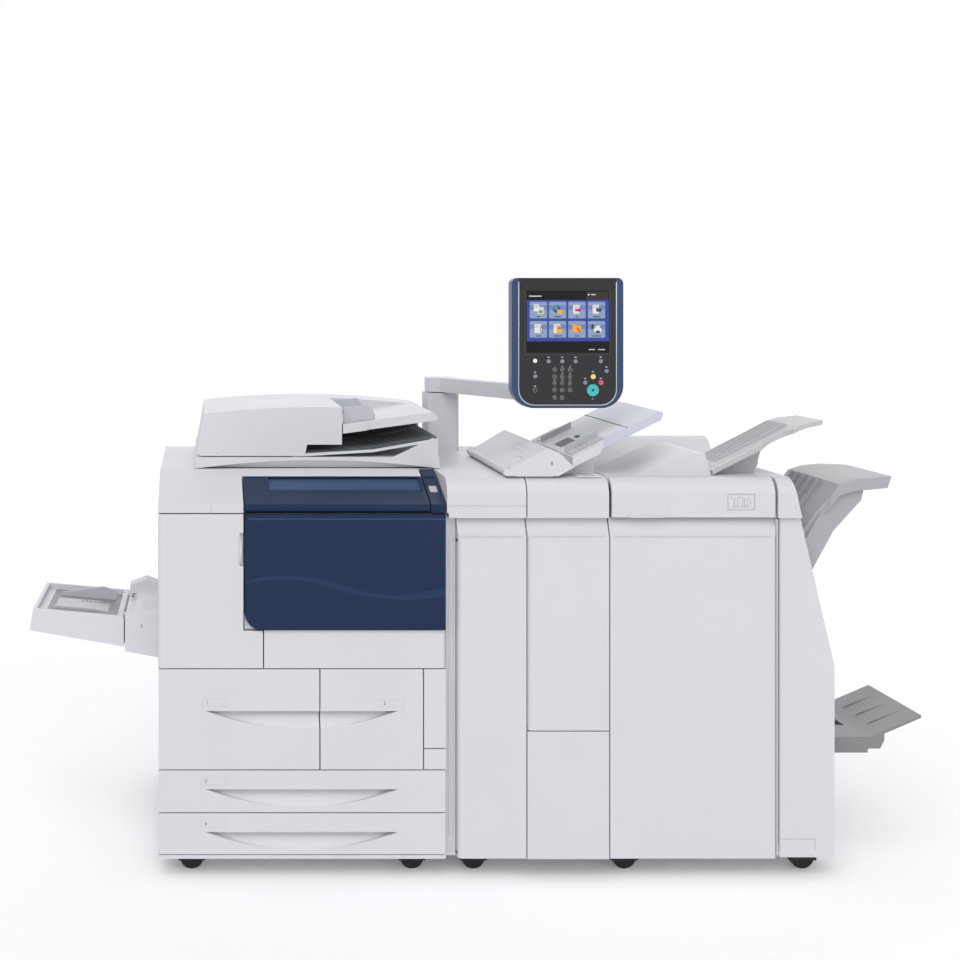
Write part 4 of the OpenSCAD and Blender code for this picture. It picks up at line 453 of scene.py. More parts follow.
def spread(name, shape, places, size, finish, body, slot, turn=(0, 0, 0), edge=0.0):
    thing = meshObject(name, [at(*p) for p in places], [])
    modifier = thing.modifiers.new("spread", "NODES")
    modifier.node_group = trees[shape]
    keys = {item.name: item.identifier for item in trees[shape].interface.items_tree if item.in_out == "INPUT"}
    modifier[keys["Size"]] = [s / 1000 for s in size]
    modifier[keys["Turn"]] = [math.radians(a) for a in turn]
    modifier[keys["Finish"]] = finishes[finish]
    bake(thing)
    if edge:
        rounded(thing, edge, segments=1)
    else:
        smoothed(thing)
    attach(thing, body)


def lettered(name, text, size, place, depth):  # upright, seen from the front
    data = bpy.data.curves.new(name, "FONT")
    data.body, data.size, data.extrude = text, size / 1000, depth / 1000
    data.align_x, data.align_y = "CENTER", "CENTER"
    data.resolution_u = letterSteps
    written = placed(name, data)
    bpy.context.view_layer.update()
    mesh = bpy.data.meshes.new_from_object(written)
    bpy.data.objects.remove(written)
    matrix = Euler((math.radians(90), 0, 0)).to_matrix().to_4x4()
    matrix.translation = at(*place)
    mesh.transform(matrix)
    return placed(name, mesh)


makeCamera()
makeStudio()

# ---- the covers: every visible node in its own form, with moulded edges
edgeWidths = {
    "engine_covers": 2.0, "front_covers": 1.5, "power_fascia": 1.0, "scanner_housing": 2.0, "drawer_1": 1.5,
    "drawer_2": 1.5, "drawer_3": 1.5, "drawer_4": 1.5, "left_front_door": 1.5, "right_front_door": 1.5,
    "blue_door_panel": 2.0, "toner_cover": 1.2, "document_cover": 1.5, "feeder_cover": 2.0,
    "front_document_guide": 1.0, "rear_document_guide": 1.0, "bypass_base": 1.5, "bypass_tray": 1.5,
    "bypass_guide": 1.0, "console_post": 1.5, "console_arm": 1.5, "console_housing": 2.5, "console_face": 0.6,
    "interface_cabinet": 2.0, "interface_door": 1.5, "inserter_cabinet": 2.0, "inserter_door": 1.5,
    "inserter_feeder": 1.5, "inserter_hood": 2.0, "front_inserter_guide": 0.8, "rear_inserter_guide": 0.8,
    "finisher_cabinet": 2.0, "finisher_door": 1.5, "finisher_top_cover": 1.5, "proof_tray": 1.5,
    "stacker_tray": 2.0, "booklet_tray": 1.5, "start_button": 1.0, "stop_button": 0.8, "clear_button": 0.8,
    "power_switch": 0.6, "caster_housings": 0.8,
}
for node, width in edgeWidths.items():
    softened(node, width)
for node, thing in nodes.items():
    if not thing.hide_render:
        thing.data.materials.clear()
        thing.data.materials.append(finishes[slotOf[node]])
print("covers ready:", len(edgeWidths))

# ---- the touch screen's picture: plain tiles with simple pictures of sheets and folders
screen = {
    "columns": (7.6, 57.0, 107.0, 157.4), "rows": (87.5, 37.8), "tile": (45.2, 43.4), "corner": 2.4,
    "field": (28.6, 135.1), "tab": 154.6, "tabGap": (1.5, 2), "rim": 0.4, "lift": 0.15, "step": 0.12, "back": 0.5,
    "shine": (0.8, 1.8), "shineShares": (0.52, 0.78), "caption": (3.6, 5.8), "captionHalf": (4, 2.5),
    "pictureRise": 12.5,
    "sheet": {"corner": 0.8, "lines": 3, "inset": 1.5, "line": (3.5, 2.7), "pitch": 2.6}}
# Each shape: kind, level, finish, then its corners from the picture's foot, radius and steps
screen["signs"] = (
    ("rect", 1, "iconWhite", 6, 144, 38, 146.4, 0.6, 2), ("rect", 2, "iconWhite", 166, 148, 178, 150.2, 0.6, 2),
    ("disc", 2, "iconWhite", 160, 149, 2.2, 12), ("rect", 1, "iconWhite", 160, 6.5, 176, 8.4, 0.6, 2),
    ("rect", 1, "iconWhite", 184, 6.5, 202, 8.4, 0.6, 2))
screen["pictures"] = (
    (("sheet", 5, "iconWhite", -12, 6, 14, 18), ("sheet", 7, "iconWhite", -1, -1, 14, 18),
     ("rect", 9, "iconGreen", 1, 1, 11, 8, 0.6, 2)),
    (("disc", 5, "iconBlue", -2, 12, 10, 24), ("disc", 6, "iconGreen", -4, 15, 5, 24),
     ("rect", 7, "iconAmber", -1, 0, 13, 10, 1, 2)),
    (("sheet", 5, "iconWhite", -10, 0, 17, 23),
     ("shape", 8, "iconPink", (-5, 6), (4, 6), (4, 3), (12, 9), (4, 16), (4, 12), (-5, 12))),
    (("sheet", 5, "iconWhite", -10, 0, 16, 23), ("rect", 8, "screenGrey", -1, 5, 12, 14, 1, 2),
     ("rect", 9, "iconBlue", 1, 7, 10, 12.5, 0.5, 2)),
    (("sheet", 5, "iconWhite", -10, 0, 17, 23), ("rect", 8, "screenGrey", 5, 1, 11, 15, 2.8, 3),
     ("rect", 9, "iconWhite", 6.6, 2.8, 9.4, 13.2, 1.3, 3)),
    (("sheet", 5, "iconWhite", -10, 0, 17, 23), ("rect", 8, "iconAmber", -3, 0, 11, 10, 1, 2),
     ("shape", 9, "iconOrange", (-2, 10), (3, 20), (9, 10))),
    (("rect", 5, "iconAmber", -11, 3, 11, 19, 1, 2), ("rect", 6, "iconAmber", -11, 17, -2, 22, 1, 2),
     ("shape", 7, "iconOrange", (-2, 12), (2, 16), (10, 4), (8, 0), (4, 2))),
    (("rect", 5, "iconWhite", -6, 2, 13, 13, 3, 3), ("rect", 6, "iconWhite", -2, 11, 9, 19, 1, 2),
     ("rect", 7, "iconLine", -1, 0, 8, 6, 0.6, 2), ("rect", 6, "screenGrey", -13, 10, -8, 23, 2.4, 3)))


def screenPicture():
    low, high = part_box("touch_screen")
    x0, face, z0 = low.x * 1000 + rowOrigin[0], low.y * 1000 + rowOrigin[1], low.z * 1000
    width, height = (high.x - low.x) * 1000, (high.z - low.z) * 1000
    sheets = []

    def plate(outline, finish, level):
        points = [(x0 + u, z0 + v) for u, v in outline]
        thing = prism("plate", points, face - screen["lift"] - level * screen["step"], face + screen["back"])
        thing.data.materials.append(finishes[finish])
        sheets.append(thing)

    def sheet(u, v, w, h, level, finish):
        page = screen["sheet"]
        plate(roundRect(u, v, u + w, v + h, page["corner"], 2), finish, level)
        for i in range(page["lines"]):
            low, high = (v + h - edge - page["pitch"] * i for edge in page["line"])
            plate(roundRect(u + page["inset"], low, u + w - page["inset"], high, 0.3, 1), "tileDeep", level + 1)

    def draw(u, v, shapes):
        for kind, level, finish, *form in shapes:
            if kind == "sheet":
                sheet(u + form[0], v + form[1], form[2], form[3], level, finish)
            elif kind == "rect":
                plate(roundRect(u + form[0], v + form[1], u + form[2], v + form[3], *form[4:]), finish, level)
            elif kind == "disc":
                plate(disc(u + form[0], v + form[1], *form[2:]), finish, level)
            else:
                plate([(u + a, v + b) for a, b in form], finish, level)

    rim, (fieldLow, fieldHigh), tab, (tabSide, tabTop) = screen["rim"], screen["field"], screen["tab"], screen["tabGap"]
    plate(roundRect(rim, rim, width - rim, height - rim, 1, 2), "screenDark", 0)
    plate(square(rim, fieldLow, width - rim, fieldHigh), "screenBlue", 1)
    plate(square(tab, fieldHigh, width - tabSide, height - tabTop), "screenGrey", 1)
    draw(0, 0, screen["signs"])
    tileW, tileH = screen["tile"]
    inset, radius = screen["shine"]
    lowShare, highShare = screen["shineShares"]
    captionLow, captionHigh = screen["caption"]
    least, growth = screen["captionHalf"]
    places = []
    for row, v in enumerate(screen["rows"]):
        for column, u in enumerate(screen["columns"]):
            plate(roundRect(u, v, u + tileW, v + tileH, screen["corner"], 3), "tileDeep", 2)
            for bottom, top in ((v + inset, v + tileH * lowShare), (v + tileH * highShare, v + tileH - inset)):
                plate(roundRect(u + inset, bottom, u + tileW - inset, top, radius, 3), "tileBlue", 3)
            middle, half = u + tileW / 2, least + growth * ((row + 2 * column) % 4)
            plate(roundRect(middle - half, v + captionLow, middle + half, v + captionHigh, 0.6, 2), "iconLine", 4)
            places.append((middle, v + screen["pictureRise"]))
    for (u, v), shapes in zip(places, screen["pictures"]):
        draw(u, v, shapes)
    whole = joined("screenPicture", sheets)
    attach(whole, "console_panel")


screenPicture()
print("screen ready")


# ---- flat marks and small trim that lie on a face of a piece
def plane(origin, along, up):
    u, v = Vector(along).normalized(), Vector(up).normalized()
    out = u.cross(v)

    def place(a, b, h):
        return at(*(Vector(origin) + a * u + b * v + h * out))

    return place


def facing(x, y, z):  # a plane that looks to the front, from the given corner
    return plane((x, y, z), (1, 0, 0), (0, 0, 1))


def above(origin, along=(1, 0, 0)):  # a plane that looks up, or up a slope
    return plane(origin, along, (0, 1, 0))


def slab(name, outline, place, low, high):
    return closed(name, *([place(a, b, h) for a, b in outline] for h in (low, high)))


def hoop(name, outer, inner, place, low, high):  # a flat ring between two outlines of as many points
    count = len(outer)
    corners = [place(a, b, h) for outline, h in ((outer, low), (outer, high), (inner, high), (inner, low))
               for a, b in outline]
    faces = [(ring * count + i, ((ring + 1) % 4) * count + i, ((ring + 1) % 4) * count + (i + 1) % count,
              ring * count + (i + 1) % count) for ring in range(4) for i in range(count)]
    return facingOut(meshObject(name, corners, faces))


def trim(name, node, finish, outlines, place, low=-0.4, high=0.15, edge=0.0):
    whole = joined(name, [slab("part", outline, place, low, high) for outline in outlines])
    if edge:
        rounded(whole, edge, segments=1)
    dress(whole, bodyOf[node], slotOf[node], finish)


def stroke(a0, b0, a1, b1, width):
    length = math.hypot(a1 - a0, b1 - b0)
    u, v = (b1 - b0) / length * width / 2, (a1 - a0) / length * width / 2
    return [(a0 + u, b0 - v), (a1 + u, b1 - v), (a1 - u, b1 + v), (a0 - u, b0 + v)]


def border(a0, b0, a1, b1, width):
    return [stroke(a0, b0, a1, b0, width), stroke(a1, b0, a1, b1, width), stroke(a1, b1, a0, b1, width),
            stroke(a0, b1, a0, b0, width)]


def path(points, width):
    return [stroke(*points[i], *points[i + 1], width) for i in range(len(points) - 1)]


def paths(lines, width):
    return [part for line in lines for part in path(line, width)]


def curve(points, steps=8):  # a smooth line through the points
    line = []
    for i in range(len(points) - 1):
        before, start, end = points[max(i - 1, 0)], points[i], points[i + 1]
        after = points[min(i + 2, len(points) - 1)]
        for k in range(steps):
            t = k / steps
            line.append(tuple(0.5 * (2 * start[j] + (end[j] - before[j]) * t
                                     + (2 * before[j] - 5 * start[j] + 4 * end[j] - after[j]) * t * t
                                     + (3 * start[j] - before[j] - 3 * end[j] + after[j]) * t ** 3) for j in (0, 1)))
    return line + [points[-1]]


front = facing(0, 0, 0)

# ---- console: trim line, screen frame, keys and their small marks
console = {
    "corner": (909, 112, 1170), "size": (288, 336), "bezel": (18, 8), "radii": (40, 7.5), "arcSteps": 8,
    "trim": 1.8, "trimDepth": (-2, 0.6), "top": (18.9, 319, 269.1, 335.9), "topLift": 0.85,
    "strip": (26, 306, 262, 325), "stripLift": 1.0, "well": (34, 138, 254, 308), "wellLift": 0.5,
    "shadow": (6, 2, 1.6, 0.62), "crease": (9, 12, 1.2, 0.1),
    "sink": 0.4, "capEdge": (3, 0.35),
    "padColumns": (110.6, 130.5, 150.6), "padRows": (99.5, 81.3, 64.2, 47.0),
    "padFoot": ((110.6, 27.2), (130.5, 27.2)),
    "grey": ((95, 121), (130.2, 121), (164.7, 121), (229.5, 121), (244.5, 95.8), (60.5, 82), (189.5, 66.2)),
    "otherMarks": ((60.2, 56.5), (209.1, 94), (229.8, 77)),
    "markRise": 10.5, "markSize": (5.5, 0.3, 2.2), "padMarkRise": 8.8, "padMarkSize": (4.6, 0.3, 1.1),
    "padMarksFrom": (115, 60), "lamp": (209.1, 24), "lampSize": (2.2, 1, 0.4)}
console["pad"] = [(u, v) for u in console["padColumns"] for v in console["padRows"]] + list(console["padFoot"])
# Each cap: name, places, radius, how far it stands out, finish
console["caps"] = (
    ("homeKeyCap", [(60.2, 122)], 5.5, 1.35, "whiteKey"), ("homeKeyDot", [(60.2, 122)], 0.8, 1.5, "faintInk"),
    ("padCaps", console["pad"] + [(60.5, 46.4)], 5.5, 1.35, "padKey"),
    ("padDots", console["pad"], 1.3, 1.5, "paleInk"), ("startMark", [(209.1, 46.4)], 3.0, 2.1, "screenDark"),
    ("stopMark", [(229.8, 66.2)], 1.5, 2.1, "screenDark"))


def dressConsole():
    x0, y0, z0 = console["corner"]
    place = facing(*console["corner"])

    def faceLine(inset):
        (bezelU, bezelV), (wide, tall), (low, high) = console["bezel"], console["size"], console["radii"]
        u0, v0 = bezelU + inset, bezelV + inset
        u1, v1 = wide - u0, tall - v0
        upper = high - inset / 2
        return cornered(((u1 - high, v1 - high, 0, upper), (u0 + high, v1 - high, 90, upper),
                         (u0 + low, v0 + low, 180, low), (u1 - low, v0 + low, 270, low)), console["arcSteps"])

    half = console["trim"] / 2
    ring = hoop("consoleTrim", faceLine(-half), faceLine(half), place, *console["trimDepth"])
    dress(ring, "console_panel", slotOf["console_housing"], "trimLine")
    for name, node, part, radius, edge in (("bezelTop", "console_housing", "top", 4, 0.3),
                                           ("consoleStrip", "console_face", "strip", 2, 0.5)):
        trim(name, node, "face", [roundRect(*console[part], radius, 3)], place, high=console[part + "Lift"], edge=edge)
    u0, v0, u1, v1 = console["well"]
    trim("screenWell", "console_face", "dark", border(u0, v0, u1, v1, 3), place, high=console["wellLift"], edge=0.2)
    side, rise, line, lift = console["shadow"]
    shadow = stroke(u0 - side, v1 + rise, u1 + side, v1 + rise, line)
    trim("screenShadow", "console_face", "screenDark", [shadow], place, high=lift)
    # painted shade: two dark strokes from the well's lower corners stand for the creases in the face
    side, drop, line, lift = console["crease"]
    creases = [stroke(u0, v0, u0 - side, v0 - drop, line), stroke(u1, v0, u1 + side, v0 - drop, line)]
    trim("faceCrease", "console_face", "dark", creases, place, high=lift)
    sink, (least, edge) = console["sink"], console["capEdge"]
    for name, places, radius, out, finish in console["caps"]:
        spread(name, "rod", [(x0 + u, y0 - out / 2 + sink, z0 + v) for u, v in places], (radius, 1, out + 2 * sink),
               finish, "console_panel", "key", turn=(90, 0, 0), edge=edge if radius > least else 0)
    faceSlot, rise = slotOf["console_face"], console["markRise"]
    small = [(u, v + rise) for u, v in console["grey"]] + list(console["otherMarks"])
    (fromU, fromV), marked = console["padMarksFrom"], console["padRows"][2]
    digits = [(u, v + console["padMarkRise"]) for u, v in console["pad"] if u > fromU and v > fromV or v == marked]
    for name, places, size in (("keyMarks", small, console["markSize"]), ("padMarks", digits, console["padMarkSize"])):
        spread(name, "bar", [(x0 + u, y0, z0 + v) for u, v in places], size, "paleInk", "console_panel", faceSlot)
    u, v = console["lamp"]
    spread("startLamp", "rod", [(x0 + u, y0, z0 + v)], console["lampSize"], "key", "console_panel", faceSlot,
           turn=(90, 0, 0))


dressConsole()
print("console ready")

# ---- engine front: the wave on the blue door, grip linings and seams
engine = {
    "upper": ((219, 745), (262, 757), (310, 760), (380, 756), (450, 740), (503, 724), (573, 713.5), (626, 715.5),
              (716, 731)),
    "lower": ((219, 740), (262, 748), (310, 750.5), (380, 745), (450, 726), (503, 712), (573, 703), (626, 700),
              (716, 709)),
    "blueFront": -6, "waveProud": 0.2,
    "grip": ((205.0, 784), (206.5, 796), (210, 825), (206.5, 854), (205.0, 866)), "gripSide": 203,
    "gripDepth": (-9.5, -1.0), "shelf": ((0, 0, 938), (0, 150, 53)),
    "plates": (("gripFloor", "left_front_door", "cover", "front", (203, 784, 213, 866), (-10.5, -8.0)),
               ("cornerBacking", "right_front_door", "cover", "front", (216.8, 624, 262, 672), (-10.0, -8.6)),
               # the toner pocket's floor in the lighter blue, painted light in the recess
               ("tonerPocket", "toner_cover", "tonerPocket", "shelf", (281.5, 79.5, 671.5, 150.3), (-6.3, -5.7)),
               # a lighter navy strip along the blue panel's top edge: a painted highlight on its bevel
               ("panelLip", "blue_door_panel", "navyEdge", "blue", (224, 900, 716, 904), (-0.4, 0.2))),
    "creases": (("interface_door", 760, 914), ("inserter_door", 932, 1122), ("finisher_door", 1140, 1540)),
    "creaseZ": 856, "line": 0.9, "coverSeam": (133, 917, 133, 936),
    "step": (1548.4, 60, 1550.6, 900), "stepDepth": (-24, -3),
    "footY": 12, "footSeam": ((1562, 97, 1648, 97), (1648, 97, 1648, 70))}


def dressEngine():
    line = engine["line"]
    blue = facing(0, engine["blueFront"], 0)
    outline = curve(engine["upper"]) + list(reversed(curve(engine["lower"])))
    trim("doorWave", "blue_door_panel", "navyWave", [outline], blue, high=engine["waveProud"])
    lining, side = curve(engine["grip"], 4), engine["gripSide"]
    trim("gripLining", "left_front_door", "cover", [lining + [(side, lining[-1][1]), (side, lining[0][1])]], front,
         *engine["gripDepth"])
    origin, up = engine["shelf"]
    faces = {"front": front, "blue": blue, "shelf": plane(origin, (1, 0, 0), up)}
    for name, node, finish, face, form, depth in engine["plates"]:
        trim(name, node, finish, [square(*form)], faces[face], *depth)
    # painted shade: a faint grey line along the crease across each door's face
    z = engine["creaseZ"]
    for node, x0, x1 in engine["creases"]:
        trim(camel(node) + "Crease", node, "window", [stroke(x0, z, x1, z, line)], front, high=0.1)
    trim("upperCoverSeam", "front_covers", "seam", [stroke(*engine["coverSeam"], line)], front)
    # the column's step in the lighter copy of the cover plastic: painted light on it
    trim("columnStep", "finisher_cabinet", "coverEdge", [square(*engine["step"])], front, *engine["stepDepth"])
    trim("footSeam", "finisher_cabinet", "seam", [stroke(*ends, line) for ends in engine["footSeam"]],
         facing(0, engine["footY"], 0))


dressEngine()

# ---- finisher's label: a plain frame with outlines of sheets
label = {
    "corner": (1425, 1.0, 923.5), "frame": (0.5, 0.5, 66.5, 39.5), "line": 0.8,
    "lines": (((16, 8), (16, 27), (20, 31)), ((25, 8), (25, 31), (37, 31), (37, 8)), ((42, 8), (42, 31)),
              ((48, 8), (50, 28), (53, 31)), ((12, 8), (55, 8)), ((8, 31), (12, 31)), ((57, 14), (57, 26)))}


def dressLabel():
    shapes = border(*label["frame"], label["line"]) + paths(label["lines"], label["line"])
    trim("finisherLabel", "finisher_top_cover", "ink", shapes, facing(*label["corner"]), high=0.1)


dressLabel()

# ---- sheet inserter: marks on the hood and guides, the label plate and the drawn-out extension
inserter = {
    "slope": 114 / 230, "trayX": 1049, "trayZ": 1051, "line": 1.1,
    "hood": ((887.9, 20, 1023.7), (90, 0, 53.3)), "sheet": (58, 120, 78, 250),
    "hook": (((28, 44), (40, 44), (46, 52), (46, 92), (38, 100)), ((34, 94), (38, 100), (44, 98))),
    "fold": ((64, 120), (64, 250)), "ticks": (50, 150, 54, 16, 6),
    "guideX": 1053, "guideLift": 4,
    "guides": ((80, "front_inserter_guide"), (398, "rear_inserter_guide")),
    "bracket": (((30, 14), (24, 14), (24, 46), (30, 46)), ((46, 14), (52, 14), (52, 46), (46, 46))),
    "guideTicks": (34, 20, 42, 6, 5), "guideSeam": (62, 2, 62, 60),
    "plateTop": 1003, "plate": (1054, 24, 1116, 104), "plateDepth": (-0.5, 1.6), "plateMarkDepth": (1.0, 1.7),
    "plateWindow": (4, 8, 26, 10), "plateTicks": (32, 14, 8, 11, 5),
    "extensions": (("extensionEdge", 1136, 68.5, 116, 0.8), ("extensionPlate", 1196, 69.5, 470.5, 0.6)),
    "extensionEnd": 1279.3, "extensionThick": 22, "extensionNose": (7.4, 7),
    "joint": (1194, 1196, 0.9, -470.8, -69.2), "sensor": (1060, 250),
    "sensorWindow": (4, -34, 46, 44), "sensorFlag": (56, -12, 66, 14)}


def trayTop(x):
    return inserter["trayZ"] + (x - inserter["trayX"]) * inserter["slope"]


def sloped(points):  # corners at the given heights over the tray's slope
    return [(x, trayTop(x) + rise) for x, rise in points]


def ladder(u0, v0, u1, pitch, count, width):  # short strokes one over the other
    return [stroke(u0, v0 + pitch * i, u1, v0 + pitch * i, width) for i in range(count)]


def dressInserter():
    line, thick = inserter["line"], inserter["extensionThick"]
    origin, slant = inserter["hood"]
    hood = above(origin, slant)
    trim("hoodArrow", "inserter_hood", "ink", paths(inserter["hook"], line), hood, high=0.1)
    trim("hoodSheet", "inserter_hood", "faintInk", border(*inserter["sheet"], line) + path(inserter["fold"], line)
         + ladder(*inserter["ticks"], line), hood, high=0.1)
    slanted = (1, 0, inserter["slope"])
    for y, node in inserter["guides"]:
        place = above((inserter["guideX"], y, trayTop(inserter["guideX"]) + inserter["guideLift"]), slanted)
        trim(camel(node) + "Arrow", node, "ink", paths(inserter["bracket"], line * 1.3)
             + ladder(*inserter["guideTicks"], line * 1.6), place, high=0.1)
        trim(camel(node) + "Seam", node, "seam", [stroke(*inserter["guideSeam"], line)], place, high=0.08)
    u0, v0, u1, v1 = inserter["plate"]
    top = above((0, 0, inserter["plateTop"]))
    # the label plate in the lighter copy of the cover plastic: painted light on it
    trim("labelPlate", "inserter_cabinet", "coverEdge", [roundRect(u0, v0, u1, v1, 3, 3)], top, *inserter["plateDepth"],
         edge=0.4)
    left, low, right, high = inserter["plateWindow"]
    tickU, tickV, tickEnd, pitch, count = inserter["plateTicks"]
    trim("labelPlateMarks", "inserter_cabinet", "ink", border(u0 + left, v0 + low, u0 + right, v1 - high, 0.9)
         + ladder(u0 + tickU, v0 + tickV, u1 - tickEnd, pitch, count, 1.2), top, *inserter["plateMarkDepth"])
    x1, (noseOut, noseDrop) = inserter["extensionEnd"], inserter["extensionNose"]
    for name, x0, y0, y1, lift in inserter["extensions"]:
        nose = [(x1 + noseOut, trayTop(x1) - noseDrop), (x1 + lift, trayTop(x1) + lift)]
        outline = sloped(((x0, lift), (x0, -thick - lift), (x1, -thick - lift))) + nose
        trim(name, "inserter_feeder", "paleTray", [outline], front, -y1, -y0, edge=1.2)
    x0, x1, lift, back, fore = inserter["joint"]
    outline = sloped(((x0, lift), (x0, -thick - lift), (x1, -thick - lift), (x1, lift)))
    trim("extensionJoint", "inserter_feeder", "shadowLine", [outline], front, back, fore)
    x, y = inserter["sensor"]
    sensor = above((x, y, trayTop(x)), slanted)
    # the sensor's window is painted the darker grey used as shade in hollows
    trim("sheetSensor", "inserter_feeder", "hollow", [roundRect(*inserter["sensorWindow"], 2, 2)], sensor, -0.5, 0.3)
    trim("sensorFlag", "inserter_feeder", "black", [roundRect(*inserter["sensorFlag"], 1, 2)], sensor, -0.5, 2.4,
         edge=0.5)


dressInserter()
print("inserter ready")

# ---- document feeder: the exit hollow with ribs and rollers, and a seam of the hood; the hollow's floor and back wall are painted dark grey as its shade, the ribs a lighter grey as painted light
outlet = {
    "y": (204.6, 561), "top": ((356, 1045.2), (470, 1050.5), (562, 1057.8), (650, 1071), (731, 1087.3)),
    "floor": 4, "ribs": (11, 222, 31, 2, 1.6), "wall": (356, 1036, 733, 1094), "wallDepth": (-562.5, -560.5),
    "rollers": (6, 372, 250, 48, 1052), "rollerSize": (9, 1, 22),
    "seamY": 204, "seam": (150, 1041, 150, 1046), "seamDepth": (3.7, 4.1)}


def dressFeeder():
    line = curve(outlet["top"], 6)
    low = [(u, v - outlet["floor"]) for u, v in reversed(line)]
    near, far = outlet["y"]
    # painted shade: a dark grey floor and back wall in the exit hollow, under the hood
    trim("exitFloor", "document_cover", "hollow", [line + low], front, -far, -near)
    count, start, pitch, thick, rise = outlet["ribs"]
    # the ribs take the lighter copy of the hollow's grey, painted light on them
    ribs = [slab("rib", [(u, v + rise) for u, v in line] + low, front, -start - pitch * i - thick, -start - pitch * i)
            for i in range(count)]
    dress(joined("exitRibs", ribs), bodyOf["document_cover"], slotOf["document_cover"], "hollowRib")
    trim("exitBack", "document_cover", "hollow", [square(*outlet["wall"])], front, *outlet["wallDepth"])
    count, x, start, pitch, z = outlet["rollers"]
    spread("exitRollers", "rod", [(x, start + pitch * i, z) for i in range(count)], outlet["rollerSize"], "black",
           bodyOf["document_cover"], slotOf["document_cover"], turn=(90, 0, 0), edge=1)
    trim("hoodSeam", "feeder_cover", "seam", [stroke(*outlet["seam"], 1.0)], facing(0, outlet["seamY"], 0),
         *outlet["seamDepth"])


dressFeeder()

# ---- bypass tray: the grey floor with its step and marks, the tip's ridges, and the base's label and latch
bypass = {
    "slope": 0.085, "hingeX": -99, "topZ": 636, "floor": 14, "x": (-296, -112), "y": (112, 428), "half": 0.5,
    "step": (14, 22, -60, -20), "stepRise": 6, "stepDepth": (-300, -196),
    "marks": (84, 168, 176, 12, 5, 7), "markLine": (82, 164, 158, 164), "markDepth": (5.9, 6.8),
    "ridges": (6, -319.5, 150, 46, 653.4), "ridgeSize": (9, 14, 3.2), "ridgeTilt": 5,
    "base": (-86, 110, 644), "label": (46, 30, 78, 150), "labelLines": (52, 40, 140, 7, 4), "line": 0.9,
    "latch": ((6, 190, 12, 206), (6, 222, 14, 232))}


def dressBypass():
    def level(x):
        return bypass["topZ"] - (x - bypass["hingeX"]) * bypass["slope"] - bypass["floor"]

    (x0, x1), (y0, y1), half, rise = bypass["x"], bypass["y"], bypass["half"], bypass["stepRise"]
    floor = [(x, level(x) + out) for x, out in ((x0, -half), (x0, half), (x1, half), (x1, -half))]
    trim("panFloor", "bypass_tray", "panFloor", [floor], front, -y1, -y0)
    a, b, c, d = bypass["step"]
    step = [(x, level(x) + out) for x, out in ((x0 + a, -half), (x0 + b, rise), (x1 + c, rise), (x1 + d, -half))]
    trim("panStep", "bypass_tray", "grey", [step], front, *bypass["stepDepth"], edge=0.8)
    u, low, high, pitch, longer, count = bypass["marks"]
    marked = [stroke(u + pitch * i, low, u + pitch * i, high + longer * (i % 2), 1.6) for i in range(count)]
    place = above((x0, y0, level(x0)), (1, 0, -bypass["slope"]))
    trim("panMarks", "bypass_tray", "ink", marked + [stroke(*bypass["markLine"], 1.0)], place, *bypass["markDepth"])
    count, x, start, pitch, z = bypass["ridges"]
    spread("tipRidges", "bar", [(x, start + pitch * i, z) for i in range(count)], bypass["ridgeSize"], "tray",
           "bypass_tray", slotOf["bypass_tray"], turn=(0, bypass["ridgeTilt"], 0), edge=0.5)
    base = above(bypass["base"])
    u, low, high, pitch, count = bypass["labelLines"]
    trim("baseLabel", "bypass_base", "faintInk", border(*bypass["label"], bypass["line"])
         + [stroke(u + pitch * i, low, u + pitch * i, high, bypass["line"]) for i in range(count)], base, high=0.12)
    trim("feedLatch", "bypass_base", "black", [roundRect(*form, 1, 2) for form in bypass["latch"]], base, high=1.2)


dressBypass()
print("trays ready")

# ---- booklet tray: the belts in its open bay, every other one in the darker grey that paints shade in hollows
booklet = {"x": (1697.3, 1788), "z": (312.5, 329, 335), "bars": ((168, 14), (202, 10), (237, 14), (268, 8)), "ends": 10}


def dressTrays():
    (x0, x1), (z0, z1, z2) = booklet["x"], booklet["z"]
    for i, (y, deep) in enumerate(booklet["bars"]):
        tip = x1 - booklet["ends"] * i
        trim(f"bookletBar{i + 1}", "booklet_tray", "black" if i % 2 == 0 else "hollow",
             [[(x0, z0), (tip, z0), (tip, z2), (x0, z1)]], front, -y - deep, -y, edge=0.6)


dressTrays()

# ---- rear and sides: louvres, screws, cover seams and the power inlet
rear = {
    "plane": 780, "sink": -0.5, "proud": 0.06, "seamLine": 1.2, "columnPitch": 84, "rowPitch": 11,
    "louvre": (35, 3.6, 1.6), "screw": (4.2, 16, 0.08),
    "louvres": (("engineLouvres", "engine_covers", -120, 700, -1, 12, 2),
                ("lowerLouvres", "engine_covers", -470, 180, -1, 9, 2),
                ("interfaceLouvres", "interface_cabinet", -822, 760, -1, 8, 1),
                ("finisherLouvres", "finisher_cabinet", -1250, 200, -1, 8, 2)),
    "screws": (("engineScrews", "engine_covers", ((18, (90, 420, 880)), (702, (90, 420, 880)))),
               ("finisherScrews", "finisher_cabinet", ((1150, (90, 500, 960)), (1560, (90, 500))))),
    "seams": (("engineSeams", "engine_covers", ((-8, 560, -712, 560), (-360, 70, -360, 556))),
              ("finisherSeams", "finisher_cabinet", ((-1140, 480, -1680, 480),))),
    "inlet": (-95, 90, -45, 122), "pins": (3, -80, 100, 3, 10, 9, 4), "pinProud": 0.09,
    "sideLouvres": (-665, 760, 1, 9, 2), "sideProud": (0.15, 0.12),
    "sideSeams": ((-40, 520, -770, 520), (-560, 524, -560, 990)), "flankX": 1697, "flankSeam": (30, 180, 770, 180)}


